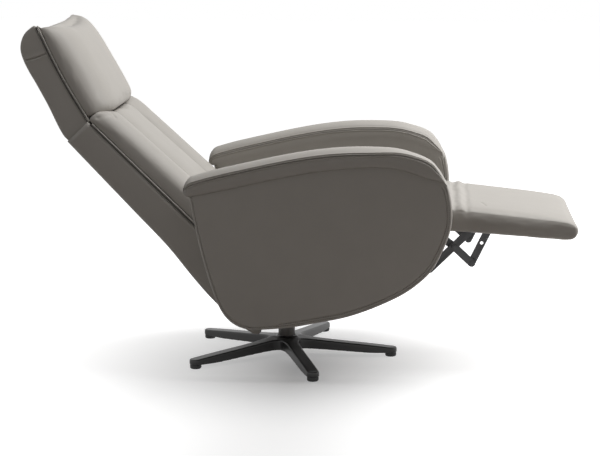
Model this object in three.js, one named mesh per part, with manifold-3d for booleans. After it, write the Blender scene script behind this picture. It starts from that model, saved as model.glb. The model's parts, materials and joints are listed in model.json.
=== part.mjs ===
// Star base swivel recliner, reclined with its footrest out.
// Millimetres, +Z up, the sitter faces +X, the left arm is at +Y.
// The origin is on the floor, on the swivel axis.

import * as THREE from "three";
import { mergeVertices } from "three/addons/utils/BufferGeometryUtils.js";
import Module from "manifold-3d";

const wasm = await Module();
wasm.setup();

// General fits
const seatGap = 0.3;            // between pieces that touch
const boreGap = 0.5;            // between a turning shaft and its bore
const cutOver = 5;              // how far a cutting tool runs past a face
const weldReach = 0.001;        // corners this close are one corner

// Star base, a five-legged aluminium casting on glides
const legCount = 5;
const glideCircleRadius = 315;
const footRadius = 18.5;
const footHeight = 15;
const glideHeight = 12;
const glideRadius = 17;
const hubRadius = 40;
const hubTop = 60;
const hubBottom = 24;
const legTipWidth = 30;
const legRootWidth = 44;
const legTipTop = 28;
const legRootTop = 57;
const legBevel = 7;
const legWall = 5;
const columnRadius = 25;
const columnBore = 17;
const columnTop = 146;
const collarRadius = 32;
const collarHeight = 4;

// Swivel head on the column
const spindleFlangeRadius = 46;
const spindleFlangeHeight = 5;
const spindleBottom = 30;
const swivelPlateLength = 190;
const swivelPlateWidth = 184;
const swivelPlateThickness = 6;
const earOffset = 76;
const earThickness = 6;
const earRadius = 30;
const earFootWidth = 120;
const tiltPivot = [20, 215];
const tiltTubeRadius = 15;
const tiltTubeWall = 3;
const tiltBushWall = 4;
const tiltBushFlange = 3;

// Mechanism side plates and their cross tubes
const sidePlateThickness = 5;
const reclinePivot = [-90, 362];
const reclineLugRadius = 16;
const reclineShaftRadius = 8;
const tiltLugRadius = 28;
const linkLugRadius = 13;
const crossTubeRadius = 12.5;
const crossTubeWall = 2;
const frontTubeX = 290;
const rearTubeX = 60;

// Seat
const seatRearX = -58;
const seatFrontX = 412;
const seatFrontTop = 499;
const seatSlope = 0.163;
const seatDepth = 75;
const seatWingDepth = 38;
const seatCoreHalfWidth = 168;
const seatWingReach = 87;
const seatCrown = 16;
const seatDrawIn = 6;
const seatPanThickness = 8;
const seatPanInset = 14;
const seatPanHoleRadius = 22;
const kneeFlapThickness = 12;

// Arms
const armSeatGap = 6;
const armWidth = 89;
const armRearX = -265;
const armLength = 753;
const armFootZ = 155;
const armHeight = 526;
const panelInset = 4;
const panelBevel = 6;
const armPadRound = 16;
const armPadLipRound = 5;

// Back, laid out along its rear line: s runs up it and n stands off it to the front
const backFoot = [-89, 124];
const backAngle = 133.4;
const backLength = 759;
const backSideInset = 5;
const backRearWall = 10;
const backSideWall = 6;
const backSeamLow = 113;
const backSeamTop = 86;
const backEdgeRound = 9;
const cushionFootS = 205;
const cushionTopInset = 11;
const shellLipRise = 2;
const bolsterCrownLow = 88;
const bolsterCrownTop = 72;
const centreCrownShare = 0.92;
const bolsterInnerOffset = 100;
const cushionDrawIn = 5;
const uprightWidth = 20;
const uprightDepth = 30;
const uprightFootS = 100;
const uprightTopInset = 88;
const backBracketThickness = 5;
const backBracketGap = 2;
const backBracketRadius = 15;
const backBracketReach = 205;
const lowerCrossS = 114;
const upperCrossInset = 119;
const backTubeN = 25;

// Headrest, laid out along its front seam
const headFootInset = 8.25;
const headFootN = 83.73;
const headAngle = 118;
const headLength = 312;
const headThickness = 80;
const headSideInset = 7;
const headFrontSag = 7;
const headEdgeRound = 9;
const headPadThickness = 76;
const headPadSideInset = 4;
const headPadLift = 15;
const headHingeInset = 7;
const headHingeN = 70;
const headTailRadius = 56;
const headBarrelRadius = 14;
const headSlotRadius = 23;
const headHingeOffset = 116;
const headHingeThickness = 5;
const hingeSideGap = 1.5;
const headHingeHalfWidth = 12;
const headAxleRadius = 5;
const headForwardRoom = 9;

// Footrest and its links, in the extended position
const footrestRearX = 460;
const footrestFrontX = 846;
const footrestSideInset = 10;
const footrestWall = 13;
const footrestRecess = 31;
const footrestRecessEnd = 800;
const footrestTopRear = 484;
const footrestTopFront = 448;
const footrestBottomRear = 431;
const footrestBottomFront = 407;
const footrestCrown = 15;
const footrestBoardThickness = 8;
const linkHalfWidth = 11;
const linkThickness = 5;
const linkPitch = 6.5;
const linkCoreGap = 16;
const pinRadius = 5;
const pinHeadRadius = 8;
const crossingHeadRadius = 7;
const pinHeadHeight = 2.5;
const pinFlushHeight = 0.9;
const frontLinkPivot = [410.7, 440.1];
const rearLinkPivot = [347.7, 346.6];
const crossingPivot = [495.5, 376];
const apexLength = 72;
const apexAngle = -42.8;
const liftAngle = 45;
const liftUpperLength = 79.2;
const liftLowerLength = 95;
const stayAngle = 64.5;
const stayLength = 112;
const stayHoleAt = 64.5;
const stayHoleRadius = 5;
const openPivotPlay = 6.2;
const rearPivotPlay = 3.4;
const bracketLugRadius = 10;
const bracketLength = 130;

// Gas spring that holds the back
const gasChassisPivot = [110, 262];
const gasBackPivot = [-95, 275];
const gasPinRadius = 6;
const gasEyeRadius = 13;
const gasEyeWidth = 16;
const gasTubeRadius = 12;
const gasRodRadius = 5;
const gasTubeLength = 118;
const gasRodInside = 55;
const gasCheekThickness = 4;
const gasEyePlay = 2.2;

// Sizes that follow: the seat's core sets the widths, and the back's length sets what sits at its top
const seatHalfWidth = seatCoreHalfWidth + seatWingReach;
const linkOffset = seatCoreHalfWidth + linkCoreGap;
const sidePlateOffset = linkOffset + linkPitch * 2;
const armInnerOffset = seatHalfWidth + armSeatGap;
const backHalfWidth = seatHalfWidth - backSideInset;
const headHalfWidth = backHalfWidth - headSideInset;
const headPadHalfWidth = backHalfWidth - headPadSideInset;
const footrestHalfWidth = seatHalfWidth - footrestSideInset;
const cushionTopS = backLength - cushionTopInset;
const uprightTopS = backLength - uprightTopInset;
const upperCrossS = backLength - upperCrossInset;
const headHingeS = backLength - headHingeInset;

// Facets
const roundSegments = 20;
const smallSegments = 10;
const eyeSegments = 14;
const footSegments = 15;

const sides = [{ name: "left", sign: 1 }, { name: "right", sign: -1 }];

// Plane geometry helpers, with points as [x, z]
const radians = (degrees) => (degrees * Math.PI) / 180;
const polar = (radius, angle) => [radius * Math.cos(radians(angle)), radius * Math.sin(radians(angle))];
const shift = (point, offset) => [point[0] + offset[0], point[1] + offset[1]];
const mix = (a, b, share) => [a[0] + (b[0] - a[0]) * share, a[1] + (b[1] - a[1]) * share];
const distance = (a, b) => Math.hypot(b[0] - a[0], b[1] - a[1]);
const angleOf = (a, b) => (Math.atan2(b[1] - a[1], b[0] - a[0]) * 180) / Math.PI;

// A frame that runs along s at the given angle, with n off its right-hand side
function railFrame(origin, angle) {
  const along = polar(1, angle);
  const off = polar(1, angle - 90);
  return (s, n) => [origin[0] + along[0] * s + off[0] * n, origin[1] + along[1] * s + off[1] * n];
}

// Points of a circle, from one angle to another
function arcPoints(centre, radius, from, to, count) {
  const points = [];
  for (let i = 0; i <= count; i += 1) {
    points.push(shift(centre, polar(radius, from + ((to - from) * i) / count)));
  }
  return points;
}

// Convex outline around a few circles, given as [centre, radius]
function hullOutline(circles, segments = roundSegments) {
  const points = circles.flatMap(([centre, radius]) => arcPoints(centre, radius, 0, 360, segments).slice(1));
  points.sort((a, b) => a[0] - b[0] || a[1] - b[1]);
  const turn = (o, a, b) => (a[0] - o[0]) * (b[1] - o[1]) - (a[1] - o[1]) * (b[0] - o[0]);
  const half = (list) => {
    const chain = [];
    for (const point of list) {
      while (chain.length > 1 && turn(chain.at(-2), chain.at(-1), point) <= 0) {
        chain.pop();
      }
      chain.push(point);
    }
    return chain.slice(0, -1);
  };
  return [...half(points), ...half(points.reverse())];
}

// A smooth line through points that are shares of a box
function curveThrough(shares, corner, size, count) {
  const points = shares.map(([u, v]) => new THREE.Vector2(corner[0] + u * size[0], corner[1] + v * size[1]));
  return new THREE.SplineCurve(points).getPoints(count).map((point) => [point.x, point.y]);
}

// Value between the rows of a table of [share, value share]
function tableAt(shares, u) {
  const next = shares.findIndex((row) => row[0] >= u);
  if (next <= 0) {
    return shares[next === 0 ? 0 : shares.length - 1][1];
  }
  const [u0, v0] = shares[next - 1];
  const [u1, v1] = shares[next];
  return v0 + ((v1 - v0) * (u - u0)) / (u1 - u0);
}

// Solid helpers
function toSolid(geometry) {
  const bare = geometry.clone();
  bare.deleteAttribute("normal");
  bare.deleteAttribute("uv");
  const merged = mergeVertices(bare, weldReach);
  const solid = new wasm.Manifold(new wasm.Mesh({
    numProp: 3,
    vertProperties: new Float32Array(merged.attributes.position.array),
    triVerts: new Uint32Array(merged.index.array),
  }));
  return solid;
}

function toGeometry(solid) {
  const mesh = solid.getMesh();
  const geometry = new THREE.BufferGeometry();
  geometry.setAttribute("position", new THREE.BufferAttribute(new Float32Array(mesh.vertProperties), 3));
  geometry.setIndex(new THREE.BufferAttribute(new Uint32Array(mesh.triVerts), 1));
  return geometry;
}

const join = (...pieces) => toGeometry(pieces.map(toSolid).reduce((whole, piece) => whole.add(piece)));
const cut = (piece, ...tools) => toGeometry(tools.map(toSolid).reduce(
  (whole, tool) => whole.subtract(tool), toSolid(piece)));

// Turns the triangles of a closed mesh round when they point inwards
function outward(geometry) {
  const position = geometry.attributes.position;
  const index = geometry.index.array;
  const corners = [new THREE.Vector3(), new THREE.Vector3(), new THREE.Vector3()];
  let volume = 0;
  for (let i = 0; i < index.length; i += 3) {
    corners.forEach((corner, k) => corner.fromBufferAttribute(position, index[i + k]));
    volume += corners[0].dot(corners[1].cross(corners[2]));
  }
  if (volume < 0) {
    for (let i = 0; i < index.length; i += 3) {
      [index[i], index[i + 1]] = [index[i + 1], index[i]];
    }
  }
  return geometry;
}

// A plate cut from an [x, z] outline, between two y values
function plateXZ(outline, yFrom, yTo, bevel = 0) {
  const low = Math.min(yFrom, yTo);
  const high = Math.max(yFrom, yTo);
  const shape = new THREE.Shape(outline.map(([x, z]) => new THREE.Vector2(x, z)));
  const geometry = new THREE.ExtrudeGeometry(shape, {
    depth: high - low - 2 * bevel,
    steps: 1,
    bevelEnabled: bevel > 0,
    bevelThickness: bevel,
    bevelSize: bevel,
    bevelOffset: -bevel,
    bevelSegments: 2,
    curveSegments: smallSegments,
  });
  geometry.rotateX(Math.PI / 2);
  geometry.translate(0, high - bevel, 0);
  return geometry;
}

// A turned piece: profile points are [radius, height] along +Z
function turned(profile, segments = roundSegments) {
  const geometry = new THREE.LatheGeometry(profile.map(([r, h]) => new THREE.Vector2(r, h)), segments);
  geometry.rotateX(Math.PI / 2);
  geometry.deleteAttribute("normal");
  geometry.deleteAttribute("uv");
  return outward(mergeVertices(geometry, weldReach));
}

// A turned piece laid along Y at [x, z], its steps given as [y, radius] pairs from one end
function turnedAlongY(steps, centre, segments = smallSegments) {
  const profile = [[0, steps[0][0]], ...steps.map(([y, r]) => [r, y]), [0, steps.at(-1)[0]]];
  const geometry = turned(profile, segments);
  geometry.rotateX(-Math.PI / 2);
  geometry.translate(centre[0], 0, centre[1]);
  return geometry;
}

const rodY = (radius, yFrom, yTo, centre, segments) => turnedAlongY(
  [[yFrom, radius], [yTo, radius]], centre, segments);

function tubeY(radius, bore, yFrom, yTo, centre, segments = roundSegments) {
  const length = Math.abs(yTo - yFrom);
  const geometry = turned([[bore, 0], [radius, 0], [radius, length], [bore, length], [bore, 0]], segments);
  geometry.rotateX(-Math.PI / 2);
  geometry.translate(centre[0], Math.min(yFrom, yTo), centre[1]);
  return geometry;
}

// A closed body skinned over rings that all have the same number of points
function loft(rings) {
  const count = rings[0].length;
  const flat = rings.flat();
  const positions = flat.flatMap((point) => [point.x, point.y, point.z]);
  const middle = (ring) => ring.reduce((sum, point) => sum.add(point), new THREE.Vector3())
    .divideScalar(count);
  const ends = [middle(rings[0]), middle(rings.at(-1))];
  ends.forEach((end) => positions.push(end.x, end.y, end.z));
  const index = [];
  for (let i = 0; i + 1 < rings.length; i += 1) {
    for (let k = 0; k < count; k += 1) {
      const a = i * count + k;
      const b = i * count + ((k + 1) % count);
      index.push(a, b, b + count, a, b + count, a + count);
    }
  }
  const last = (rings.length - 1) * count;
  for (let k = 0; k < count; k += 1) {
    const next = (k + 1) % count;
    index.push(flat.length, next, k);
    index.push(flat.length + 1, last + k, last + next);
  }
  const geometry = new THREE.BufferGeometry();
  geometry.setAttribute("position", new THREE.Float32BufferAttribute(positions, 3));
  geometry.setIndex(index);
  return outward(geometry);
}

// Upper half of a cushion's section: points [y share, height share] from +1 to -1
function crownShares(count, roundness) {
  const points = [];
  for (let i = 0; i <= count; i += 1) {
    const angle = (Math.PI * i) / count;
    const c = Math.cos(angle);
    const s = Math.sin(angle);
    points.push([Math.sign(c) * Math.abs(c) ** roundness, s ** roundness]);
  }
  return points;
}

const group = new THREE.Group();

function finish(color, roughness, metalness) {
  return { color, roughness, metalness };
}

const finishes = {
  leather: finish("#b9b5ad", 0.5, 0),
  leatherShade: finish("#8d8981", 0.5, 0),
  castBase: finish("#3c3b3d", 0.35, 0.8),
  steel: finish("#3a3a3a", 0.4, 0.7),
  zinc: finish("#8f9295", 0.35, 0.9),
  glide: finish("#161616", 0.6, 0),
  board: finish("#b48a5a", 0.7, 0),
};

function place(name, geometry, look) {
  const mesh = new THREE.Mesh(geometry, new THREE.MeshStandardMaterial(look));
  mesh.name = name;
  group.add(mesh);
}

// Star base: five lofted legs, a turned hub and turned-down feet, joined into one casting
const legStationShares = [0, 0.16, 0.45, 0.8, 1];
const legTopShares = [[0, 1], [0.16, 0.9], [0.45, 0.52], [0.8, 0.14], [1, 0]];
const legWidthShares = [[0, 1.25], [0.16, 0.85], [0.45, 0.5], [0.8, 0.12], [1, 0]];
const legUnderShares = [[0, 1], [0.16, 0.9], [0.45, 0.6], [0.8, 0.15], [1, 0]];

function legRing(share, inset) {
  const radius = glideCircleRadius * share;
  const top = legTipTop + (legRootTop - legTipTop) * tableAt(legTopShares, share) - inset;
  const under = inset > 0 ? glideHeight - cutOver
    : glideHeight + (hubBottom - glideHeight) * tableAt(legUnderShares, share);
  const half = (legTipWidth + (legRootWidth - legTipWidth) * tableAt(legWidthShares, share)) / 2 - inset;
  const bevel = inset > 0 ? legBevel / 2 : legBevel;
  const section = [
    [half, under], [half, top - bevel], [half - bevel, top],
    [-half + bevel, top], [-half, top - bevel], [-half, under],
  ];
  return section.map(([y, z]) => new THREE.Vector3(radius, y, z));
}

const hubFootShare = 1.1;
const hubFoot = hubRadius * hubFootShare;
const footShoulderShare = 0.7;
const footTopShare = 0.85;
const glideSoleShare = 0.88;
const glideBevelShare = 0.25;
const castParts = [turned([
  [0, hubBottom], [hubFoot, hubBottom], [hubFoot, (hubTop + hubBottom) / 2],
  [hubRadius, hubTop - legBevel], [hubRadius - legBevel, hubTop], [0, hubTop],
], roundSegments + legCount)];
const castTools = [];
const channelShares = [0.22, 0.45, 0.8, 0.9];
for (let leg = 0; leg < legCount; leg += 1) {
  const turnZ = (geometry) => geometry.rotateZ((2 * Math.PI * leg) / legCount);
  castParts.push(turnZ(loft(legStationShares.map((share) => legRing(share, 0)))));
  const foot = turned([
    [0, glideHeight], [footRadius, glideHeight], [footRadius, glideHeight + footHeight * footShoulderShare],
    [footRadius * footTopShare, glideHeight + footHeight], [0, glideHeight + footHeight],
  ], footSegments);
  foot.translate(glideCircleRadius, 0, 0);
  castParts.push(turnZ(foot));
  castTools.push(turnZ(loft(channelShares.map((share) => legRing(share, legWall)))));
  const glide = turned([
    [0, 0], [glideRadius * glideSoleShare, 0], [glideRadius, glideHeight * glideBevelShare],
    [glideRadius, glideHeight - seatGap], [0, glideHeight - seatGap],
  ], footSegments);
  glide.translate(glideCircleRadius, 0, 0);
  place(`glide_${leg + 1}`, turnZ(glide), finishes.glide);
}
const hubBore = turned([
  [0, hubBottom - cutOver], [columnRadius + seatGap, hubBottom - cutOver],
  [columnRadius + seatGap, hubTop + cutOver], [0, hubTop + cutOver],
]);
place("star_base", cut(join(...castParts), ...castTools, hubBore), finishes.castBase);

const collarFoot = hubTop + seatGap;
place("column_tube", turned([
  [columnBore, hubBottom], [columnRadius, hubBottom], [columnRadius, collarFoot],
  [collarRadius, collarFoot], [collarRadius, collarFoot + collarHeight / 2],
  [collarRadius - collarHeight / 2, collarFoot + collarHeight], [columnRadius, collarFoot + collarHeight],
  [columnRadius, columnTop], [columnBore, columnTop], [columnBore, hubBottom],
]), finishes.castBase);

// Swivel head
const flangeFoot = columnTop + seatGap;
const flangeTop = flangeFoot + spindleFlangeHeight;
place("swivel_spindle", turned([
  [0, spindleBottom], [columnBore - boreGap, spindleBottom], [columnBore - boreGap, flangeFoot],
  [spindleFlangeRadius, flangeFoot], [spindleFlangeRadius, flangeTop], [0, flangeTop],
]), finishes.steel);

const swivelPlateFoot = flangeTop + seatGap;
const swivelPlateTop = swivelPlateFoot + swivelPlateThickness;
const bushRadius = tiltTubeRadius + seatGap + tiltBushWall;
const swivelPlate = plateXZ([
  [-swivelPlateLength / 2, swivelPlateFoot], [swivelPlateLength / 2, swivelPlateFoot],
  [swivelPlateLength / 2, swivelPlateTop], [-swivelPlateLength / 2, swivelPlateTop],
], -swivelPlateWidth / 2, swivelPlateWidth / 2);
const earHalfFoot = earFootWidth / 2;
const earOutline = hullOutline([
  [tiltPivot, earRadius],
  [[tiltPivot[0] - earHalfFoot, swivelPlateFoot + swivelPlateThickness], swivelPlateThickness / 2],
  [[tiltPivot[0] + earHalfFoot, swivelPlateFoot + swivelPlateThickness], swivelPlateThickness / 2],
]);
const ears = sides.map(({ sign }) => plateXZ(earOutline, sign * earOffset,
  sign * (earOffset + earThickness)));
const earBore = rodY(bushRadius + seatGap, -swivelPlateWidth, swivelPlateWidth, tiltPivot, roundSegments);
place("swivel_bracket", cut(join(swivelPlate, ...ears), earBore), finishes.steel);

for (const { name, sign } of sides) {
  const bushInner = earOffset - tiltBushFlange;
  const bushOuter = earOffset + earThickness + seatGap;
  const bush = tubeY(bushRadius, tiltTubeRadius + seatGap, sign * bushInner, sign * bushOuter, tiltPivot);
  const flange = tubeY(bushRadius + tiltBushWall, tiltTubeRadius + seatGap,
    sign * bushInner, sign * (earOffset - seatGap), tiltPivot);
  place(`tilt_bush_${name}`, join(bush, flange), finishes.glide);
}

// Seat plane, sloping up to the front
const seatTopAt = (x) => seatFrontTop - (seatFrontX - x) * seatSlope;
const seatPanTopAt = (x) => seatTopAt(x) - seatDepth - seatGap;
const slopeLength = Math.hypot(1, seatSlope);
const tubeDrop = (seatPanThickness + seatGap + crossTubeRadius) * slopeLength;
const tubeUnderPan = (x) => [x, seatPanTopAt(x) - tubeDrop];
const frontTube = tubeUnderPan(frontTubeX);
const rearTube = tubeUnderPan(rearTubeX);
const panelInner = armInnerOffset + panelInset;

// Mechanism side plates with lightening holes, on shares of the box between the pivots
const plateCutShares = [
  [[0.07, 0.57], [0.215, 0.6], [0.195, 0.22]],
  [[0.4, 0.72], [0.63, 0.8], [0.62, 0.47], [0.47, 0.4]],
  [[0.84, 0.86], [0.91, 0.87], [0.845, 0.76]],
];
const plateCutRoundShare = 0.7;
const plateCutRadius = linkLugRadius * plateCutRoundShare;
const platePoint = ([u, v]) => [
  reclinePivot[0] + u * (frontLinkPivot[0] - reclinePivot[0]),
  tiltPivot[1] + v * (frontLinkPivot[1] - tiltPivot[1]),
];
const sidePlateOuter = sidePlateOffset + sidePlateThickness;
for (const { name, sign } of sides) {
  const outline = hullOutline([
    [reclinePivot, reclineLugRadius], [frontLinkPivot, linkLugRadius],
    [rearLinkPivot, linkLugRadius], [tiltPivot, tiltLugRadius],
  ]);
  const low = sign * (sidePlateOffset - cutOver);
  const high = sign * (sidePlateOuter + cutOver);
  const holes = [
    [frontLinkPivot, pinRadius], [rearLinkPivot, pinRadius], [gasChassisPivot, gasPinRadius],
  ].map(([centre, radius]) => rodY(radius + seatGap, low, high, centre));
  const tubeHoles = [
    [frontTube, crossTubeRadius], [rearTube, crossTubeRadius], [tiltPivot, tiltTubeRadius],
    [reclinePivot, reclineShaftRadius],
  ].map(([centre, radius]) => rodY(radius + seatGap, low, high, centre, roundSegments));
  const windows = plateCutShares.map((corners) => plateXZ(
    hullOutline(corners.map((corner) => [platePoint(corner), plateCutRadius]), smallSegments), low, high));
  const plate = plateXZ(outline, sign * sidePlateOffset, sign * sidePlateOuter);
  place(`side_plate_${name}`, cut(plate, ...holes, ...tubeHoles, ...windows), finishes.steel);
}

const tubeReach = panelInner - seatGap;
place("front_cross_tube", tubeY(crossTubeRadius, crossTubeRadius - crossTubeWall,
  -tubeReach, tubeReach, frontTube), finishes.steel);
place("rear_cross_tube", tubeY(crossTubeRadius, crossTubeRadius - crossTubeWall,
  -tubeReach, tubeReach, rearTube), finishes.steel);
const tiltTubeReach = sidePlateOuter + seatGap;
place("tilt_tube", tubeY(tiltTubeRadius, tiltTubeRadius - tiltTubeWall,
  -tiltTubeReach, tiltTubeReach, tiltPivot), finishes.zinc);
const backBracketOffset = sidePlateOuter + backBracketGap;
const backBracketOuter = backBracketOffset + backBracketThickness;
place("recline_shaft", rodY(reclineShaftRadius, -backBracketOuter - seatGap, backBracketOuter + seatGap,
  reclinePivot, roundSegments), finishes.zinc);
place("gas_spring_pin", rodY(gasPinRadius, -sidePlateOuter, sidePlateOuter, gasChassisPivot), finishes.zinc);

// Seat pan: a ventilated plywood board on the cross tubes
const panRear = seatRearX + seatPanInset;
const panFront = seatFrontX - seatPanInset;
const panHalf = seatCoreHalfWidth - seatPanInset;
const panOutline = [
  [panRear, seatPanTopAt(panRear)], [panRear, seatPanTopAt(panRear) - seatPanThickness * slopeLength],
  [panFront, seatPanTopAt(panFront) - seatPanThickness * slopeLength], [panFront, seatPanTopAt(panFront)],
];
const panHoles = [];
const panHoleShares = [0.2, 0.5, 0.8];
for (const u of panHoleShares) {
  for (const v of panHoleShares) {
    const hole = turned([
      [0, seatPanTopAt(panRear) - seatDepth], [seatPanHoleRadius, seatPanTopAt(panRear) - seatDepth],
      [seatPanHoleRadius, seatFrontTop], [0, seatFrontTop],
    ], smallSegments);
    hole.translate(panRear + (panFront - panRear) * u, panHalf * (2 * v - 1), 0);
    panHoles.push(hole);
  }
}
place("seat_pan", cut(plateXZ(panOutline, -panHalf, panHalf), ...panHoles), finishes.board);

// Seat cushion: crowned top, drawn-in sides and a deep core between the side plates
const seatSectionShares = crownShares(12, 0.45);
const seatShoulderShare = 0.5;
const seatEdgeCrownShare = 0.4;
const seatCrownFloorShare = 0.2;
const seatStationShares = [
  [0, 0.9, 0.25], [0.03, 0.985, 0.7], [0.12, 1, 0.95], [0.35, 1, 1], [0.65, 1, 1],
  [0.88, 1, 0.9], [0.97, 0.99, 0.5], [1, 0.95, 0],
];
function seatRing([u, width, crown]) {
  const x = seatRearX + (seatFrontX - seatRearX) * u;
  const top = seatTopAt(x);
  const half = seatHalfWidth * width;
  const shoulder = seatWingDepth * seatShoulderShare;
  const upper = seatSectionShares.map(([y, h]) => [half * y,
    top - shoulder + (shoulder + seatCrown * (crown - seatCrownFloorShare - seatEdgeCrownShare)) * h]);
  const lower = [
    [-half + seatDrawIn, top - seatWingDepth], [-seatCoreHalfWidth, top - seatWingDepth],
    [-seatCoreHalfWidth + seatDrawIn, top - seatDepth], [seatCoreHalfWidth - seatDrawIn, top - seatDepth],
    [seatCoreHalfWidth, top - seatWingDepth], [half - seatDrawIn, top - seatWingDepth],
  ];
  return [...upper, ...lower].map(([y, z]) => new THREE.Vector3(x, y, z));
}
place("seat_cushion", loft(seatStationShares.map(seatRing)), finishes.leather);

// Knee flap: the leather bridge between the seat and the footrest
const flapRear = seatFrontX + seatGap;
const flapFront = footrestRearX - seatGap;
const flapHalf = footrestHalfWidth - footrestWall;
const flapRearShare = 0.45;
const flapFrontShare = 0.25;
const flapSagShare = 0.5;
const flapRearTop = seatTopAt(flapRear) - seatWingDepth * flapRearShare;
const flapFrontTop = footrestTopRear - seatWingDepth * flapFrontShare;
const flapSag = kneeFlapThickness * flapSagShare;
const flapTopShares = [[0, 0], [0.35, -1], [0.65, -1], [1, 0]];
const flapTop = flapTopShares.map(([u, sag]) => [
  flapRear + (flapFront - flapRear) * u,
  flapRearTop + (flapFrontTop - flapRearTop) * u + sag * flapSag,
]);
const flapUnder = flapTop.map(([x, z]) => [x, z - kneeFlapThickness]).reverse();
place("knee_flap", plateXZ([...flapTop, ...flapUnder], -flapHalf, flapHalf), finishes.leatherShade);

// Arms: an upholstered panel with a padded band over its top, on shares of the arm's box
const panelEdgeShares = [
  [0.983, 0.785], [0.997, 0.69], [1, 0.61], [0.989, 0.53], [0.965, 0.441], [0.932, 0.35],
  [0.886, 0.278], [0.817, 0.205], [0.714, 0.133], [0.611, 0.08], [0.506, 0.0475], [0.401, 0.019],
  [0.283, 0.003], [0.24, 0.004], [0.199, 0.022], [0.163, 0.059], [0.133, 0.12], [0.105, 0.2205],
  [0.068, 0.403], [0.041, 0.574], [0.021, 0.728],
];
const creaseShares = [
  [0.021, 0.728], [0.158, 0.768], [0.325, 0.823], [0.511, 0.873], [0.677, 0.888],
  [0.7875, 0.882], [0.861, 0.859], [0.916, 0.833], [0.955, 0.805], [0.983, 0.768],
];
const padTopShares = [
  [0.022, 0.79], [0.092, 0.8365], [0.161, 0.865], [0.264, 0.901], [0.368, 0.937], [0.471, 0.97],
  [0.574, 0.992], [0.675, 1], [0.778, 0.992], [0.846, 0.968], [0.907, 0.926], [0.955, 0.857],
  [0.988, 0.785],
];
const armCorner = [armRearX, armFootZ];
const armBox = [armLength, armHeight];
const padStationCount = 18;
const creaseLine = curveThrough(creaseShares, armCorner, armBox, padStationCount);
const padTopLine = curveThrough(padTopShares, armCorner, armBox, padStationCount);
const panelStationCount = 30;
const panelLine = curveThrough(panelEdgeShares, armCorner, armBox, panelStationCount);
const panelOutline = [...panelLine.slice(1), ...creaseLine.slice(1)];
const armMiddle = armInnerOffset + armWidth / 2;

const padRoundShare = 0.45;
const padLipShare = 0.2;
const padCornerShare = 0.3;
const padCrownShare = 0.4;
function armPadRing(lower, upper, width) {
  const rise = distance(lower, upper);
  const lift = (share) => mix(lower, upper, share);
  const half = (armWidth / 2) * width;
  const round = Math.min(armPadRound, rise * padRoundShare);
  const corner = round * padCornerShare;
  const lip = Math.min(armPadLipRound, rise * padLipShare);
  const section = [
    [half - lip, 0], [half, lip], [half, rise - round], [half - corner, rise - corner],
    [half - round, rise], [half * padCrownShare, rise], [-half * padCrownShare, rise],
    [-half + round, rise], [-half + corner, rise - corner], [-half, rise - round],
    [-half, lip], [-half + lip, 0],
  ];
  return section.map(([y, t]) => {
    const [x, z] = lift(t / rise);
    return new THREE.Vector3(x, y, z);
  });
}

const padTipShares = [[-0.012, 0.012], [-0.016, -0.028]];
const padTipWidthShare = 0.9;
const padTip = (point, [u, v]) => shift(point, [armLength * u, armHeight * v]);
for (const { name, sign } of sides) {
  place(`side_panel_${name}`, plateXZ(panelOutline, sign * panelInner,
    sign * (armInnerOffset + armWidth - panelInset), panelBevel), finishes.leatherShade);
  const lift = [0, seatGap * 1.5];
  const rings = creaseLine.map((lower, i) => armPadRing(shift(lower, lift), padTopLine[i], 1));
  const tipLower = padTip(creaseLine[0], padTipShares[0]);
  const tipUpper = padTip(padTopLine[0], padTipShares[1]);
  rings.unshift(armPadRing(shift(tipLower, lift), tipUpper, padTipWidthShare));
  const pad = loft(rings);
  pad.translate(0, sign * armMiddle, 0);
  place(`arm_pad_${name}`, pad, finishes.leather);
}

// Back shell: a tray with a rear wall and two side walls, open to the front and below
const backPoint = railFrame(backFoot, backAngle);
const seamAt = (s) => {
  const share = (s - uprightFootS) / (backLength - uprightFootS);
  return backSeamLow + (backSeamTop - backSeamLow) * share;
};
const rearLineShares = [[0.46, 0], [0.33, -0.07], [0.24, -0.11], [0.16, -0.112], [0.06, -0.075], [0, 0.01]];
const rearPoints = (offset) => rearLineShares.map(([s, n]) => backPoint(backLength * s,
  backSeamLow * n + offset));
const shellFootShares = [[-0.026, 0.16], [-0.016, 0.285], [0.04, 0.53]];
const shellSeamShare = 0.16;
const shellFoot = [
  ...shellFootShares.map(([s, n]) => backPoint(backLength * s, backSeamLow * n)),
  backPoint(backLength * shellSeamShare, seamAt(backLength * shellSeamShare)),
];
const headHinge = backPoint(headHingeS, headHingeN);
const shellOutline = [
  backPoint(backLength, 0), ...rearPoints(0), ...shellFoot,
  backPoint(cushionTopS, seamAt(cushionTopS)), backPoint(cushionTopS + shellLipRise, headHingeN),
];
const innerRunShares = [-0.06, 1.1];
const innerFootShare = 0.1;
const innerFootS = backLength * innerRunShares[0];
const innerTopS = backLength * innerRunShares[1];
const innerFrontN = backSeamLow * 2;
const innerOutline = [
  backPoint(backLength + cutOver, backRearWall), ...rearPoints(backRearWall),
  backPoint(innerFootS, backSeamLow * innerFootShare + backRearWall), backPoint(innerFootS, innerFrontN),
  backPoint(innerTopS, innerFrontN), backPoint(innerTopS, backRearWall),
];
const shellInnerHalf = backHalfWidth - backSideWall;
place("back_shell", cut(
  plateXZ(shellOutline, -backHalfWidth, backHalfWidth, backEdgeRound / 3),
  plateXZ(innerOutline, -shellInnerHalf, shellInnerHalf),
), finishes.leatherShade);

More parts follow.
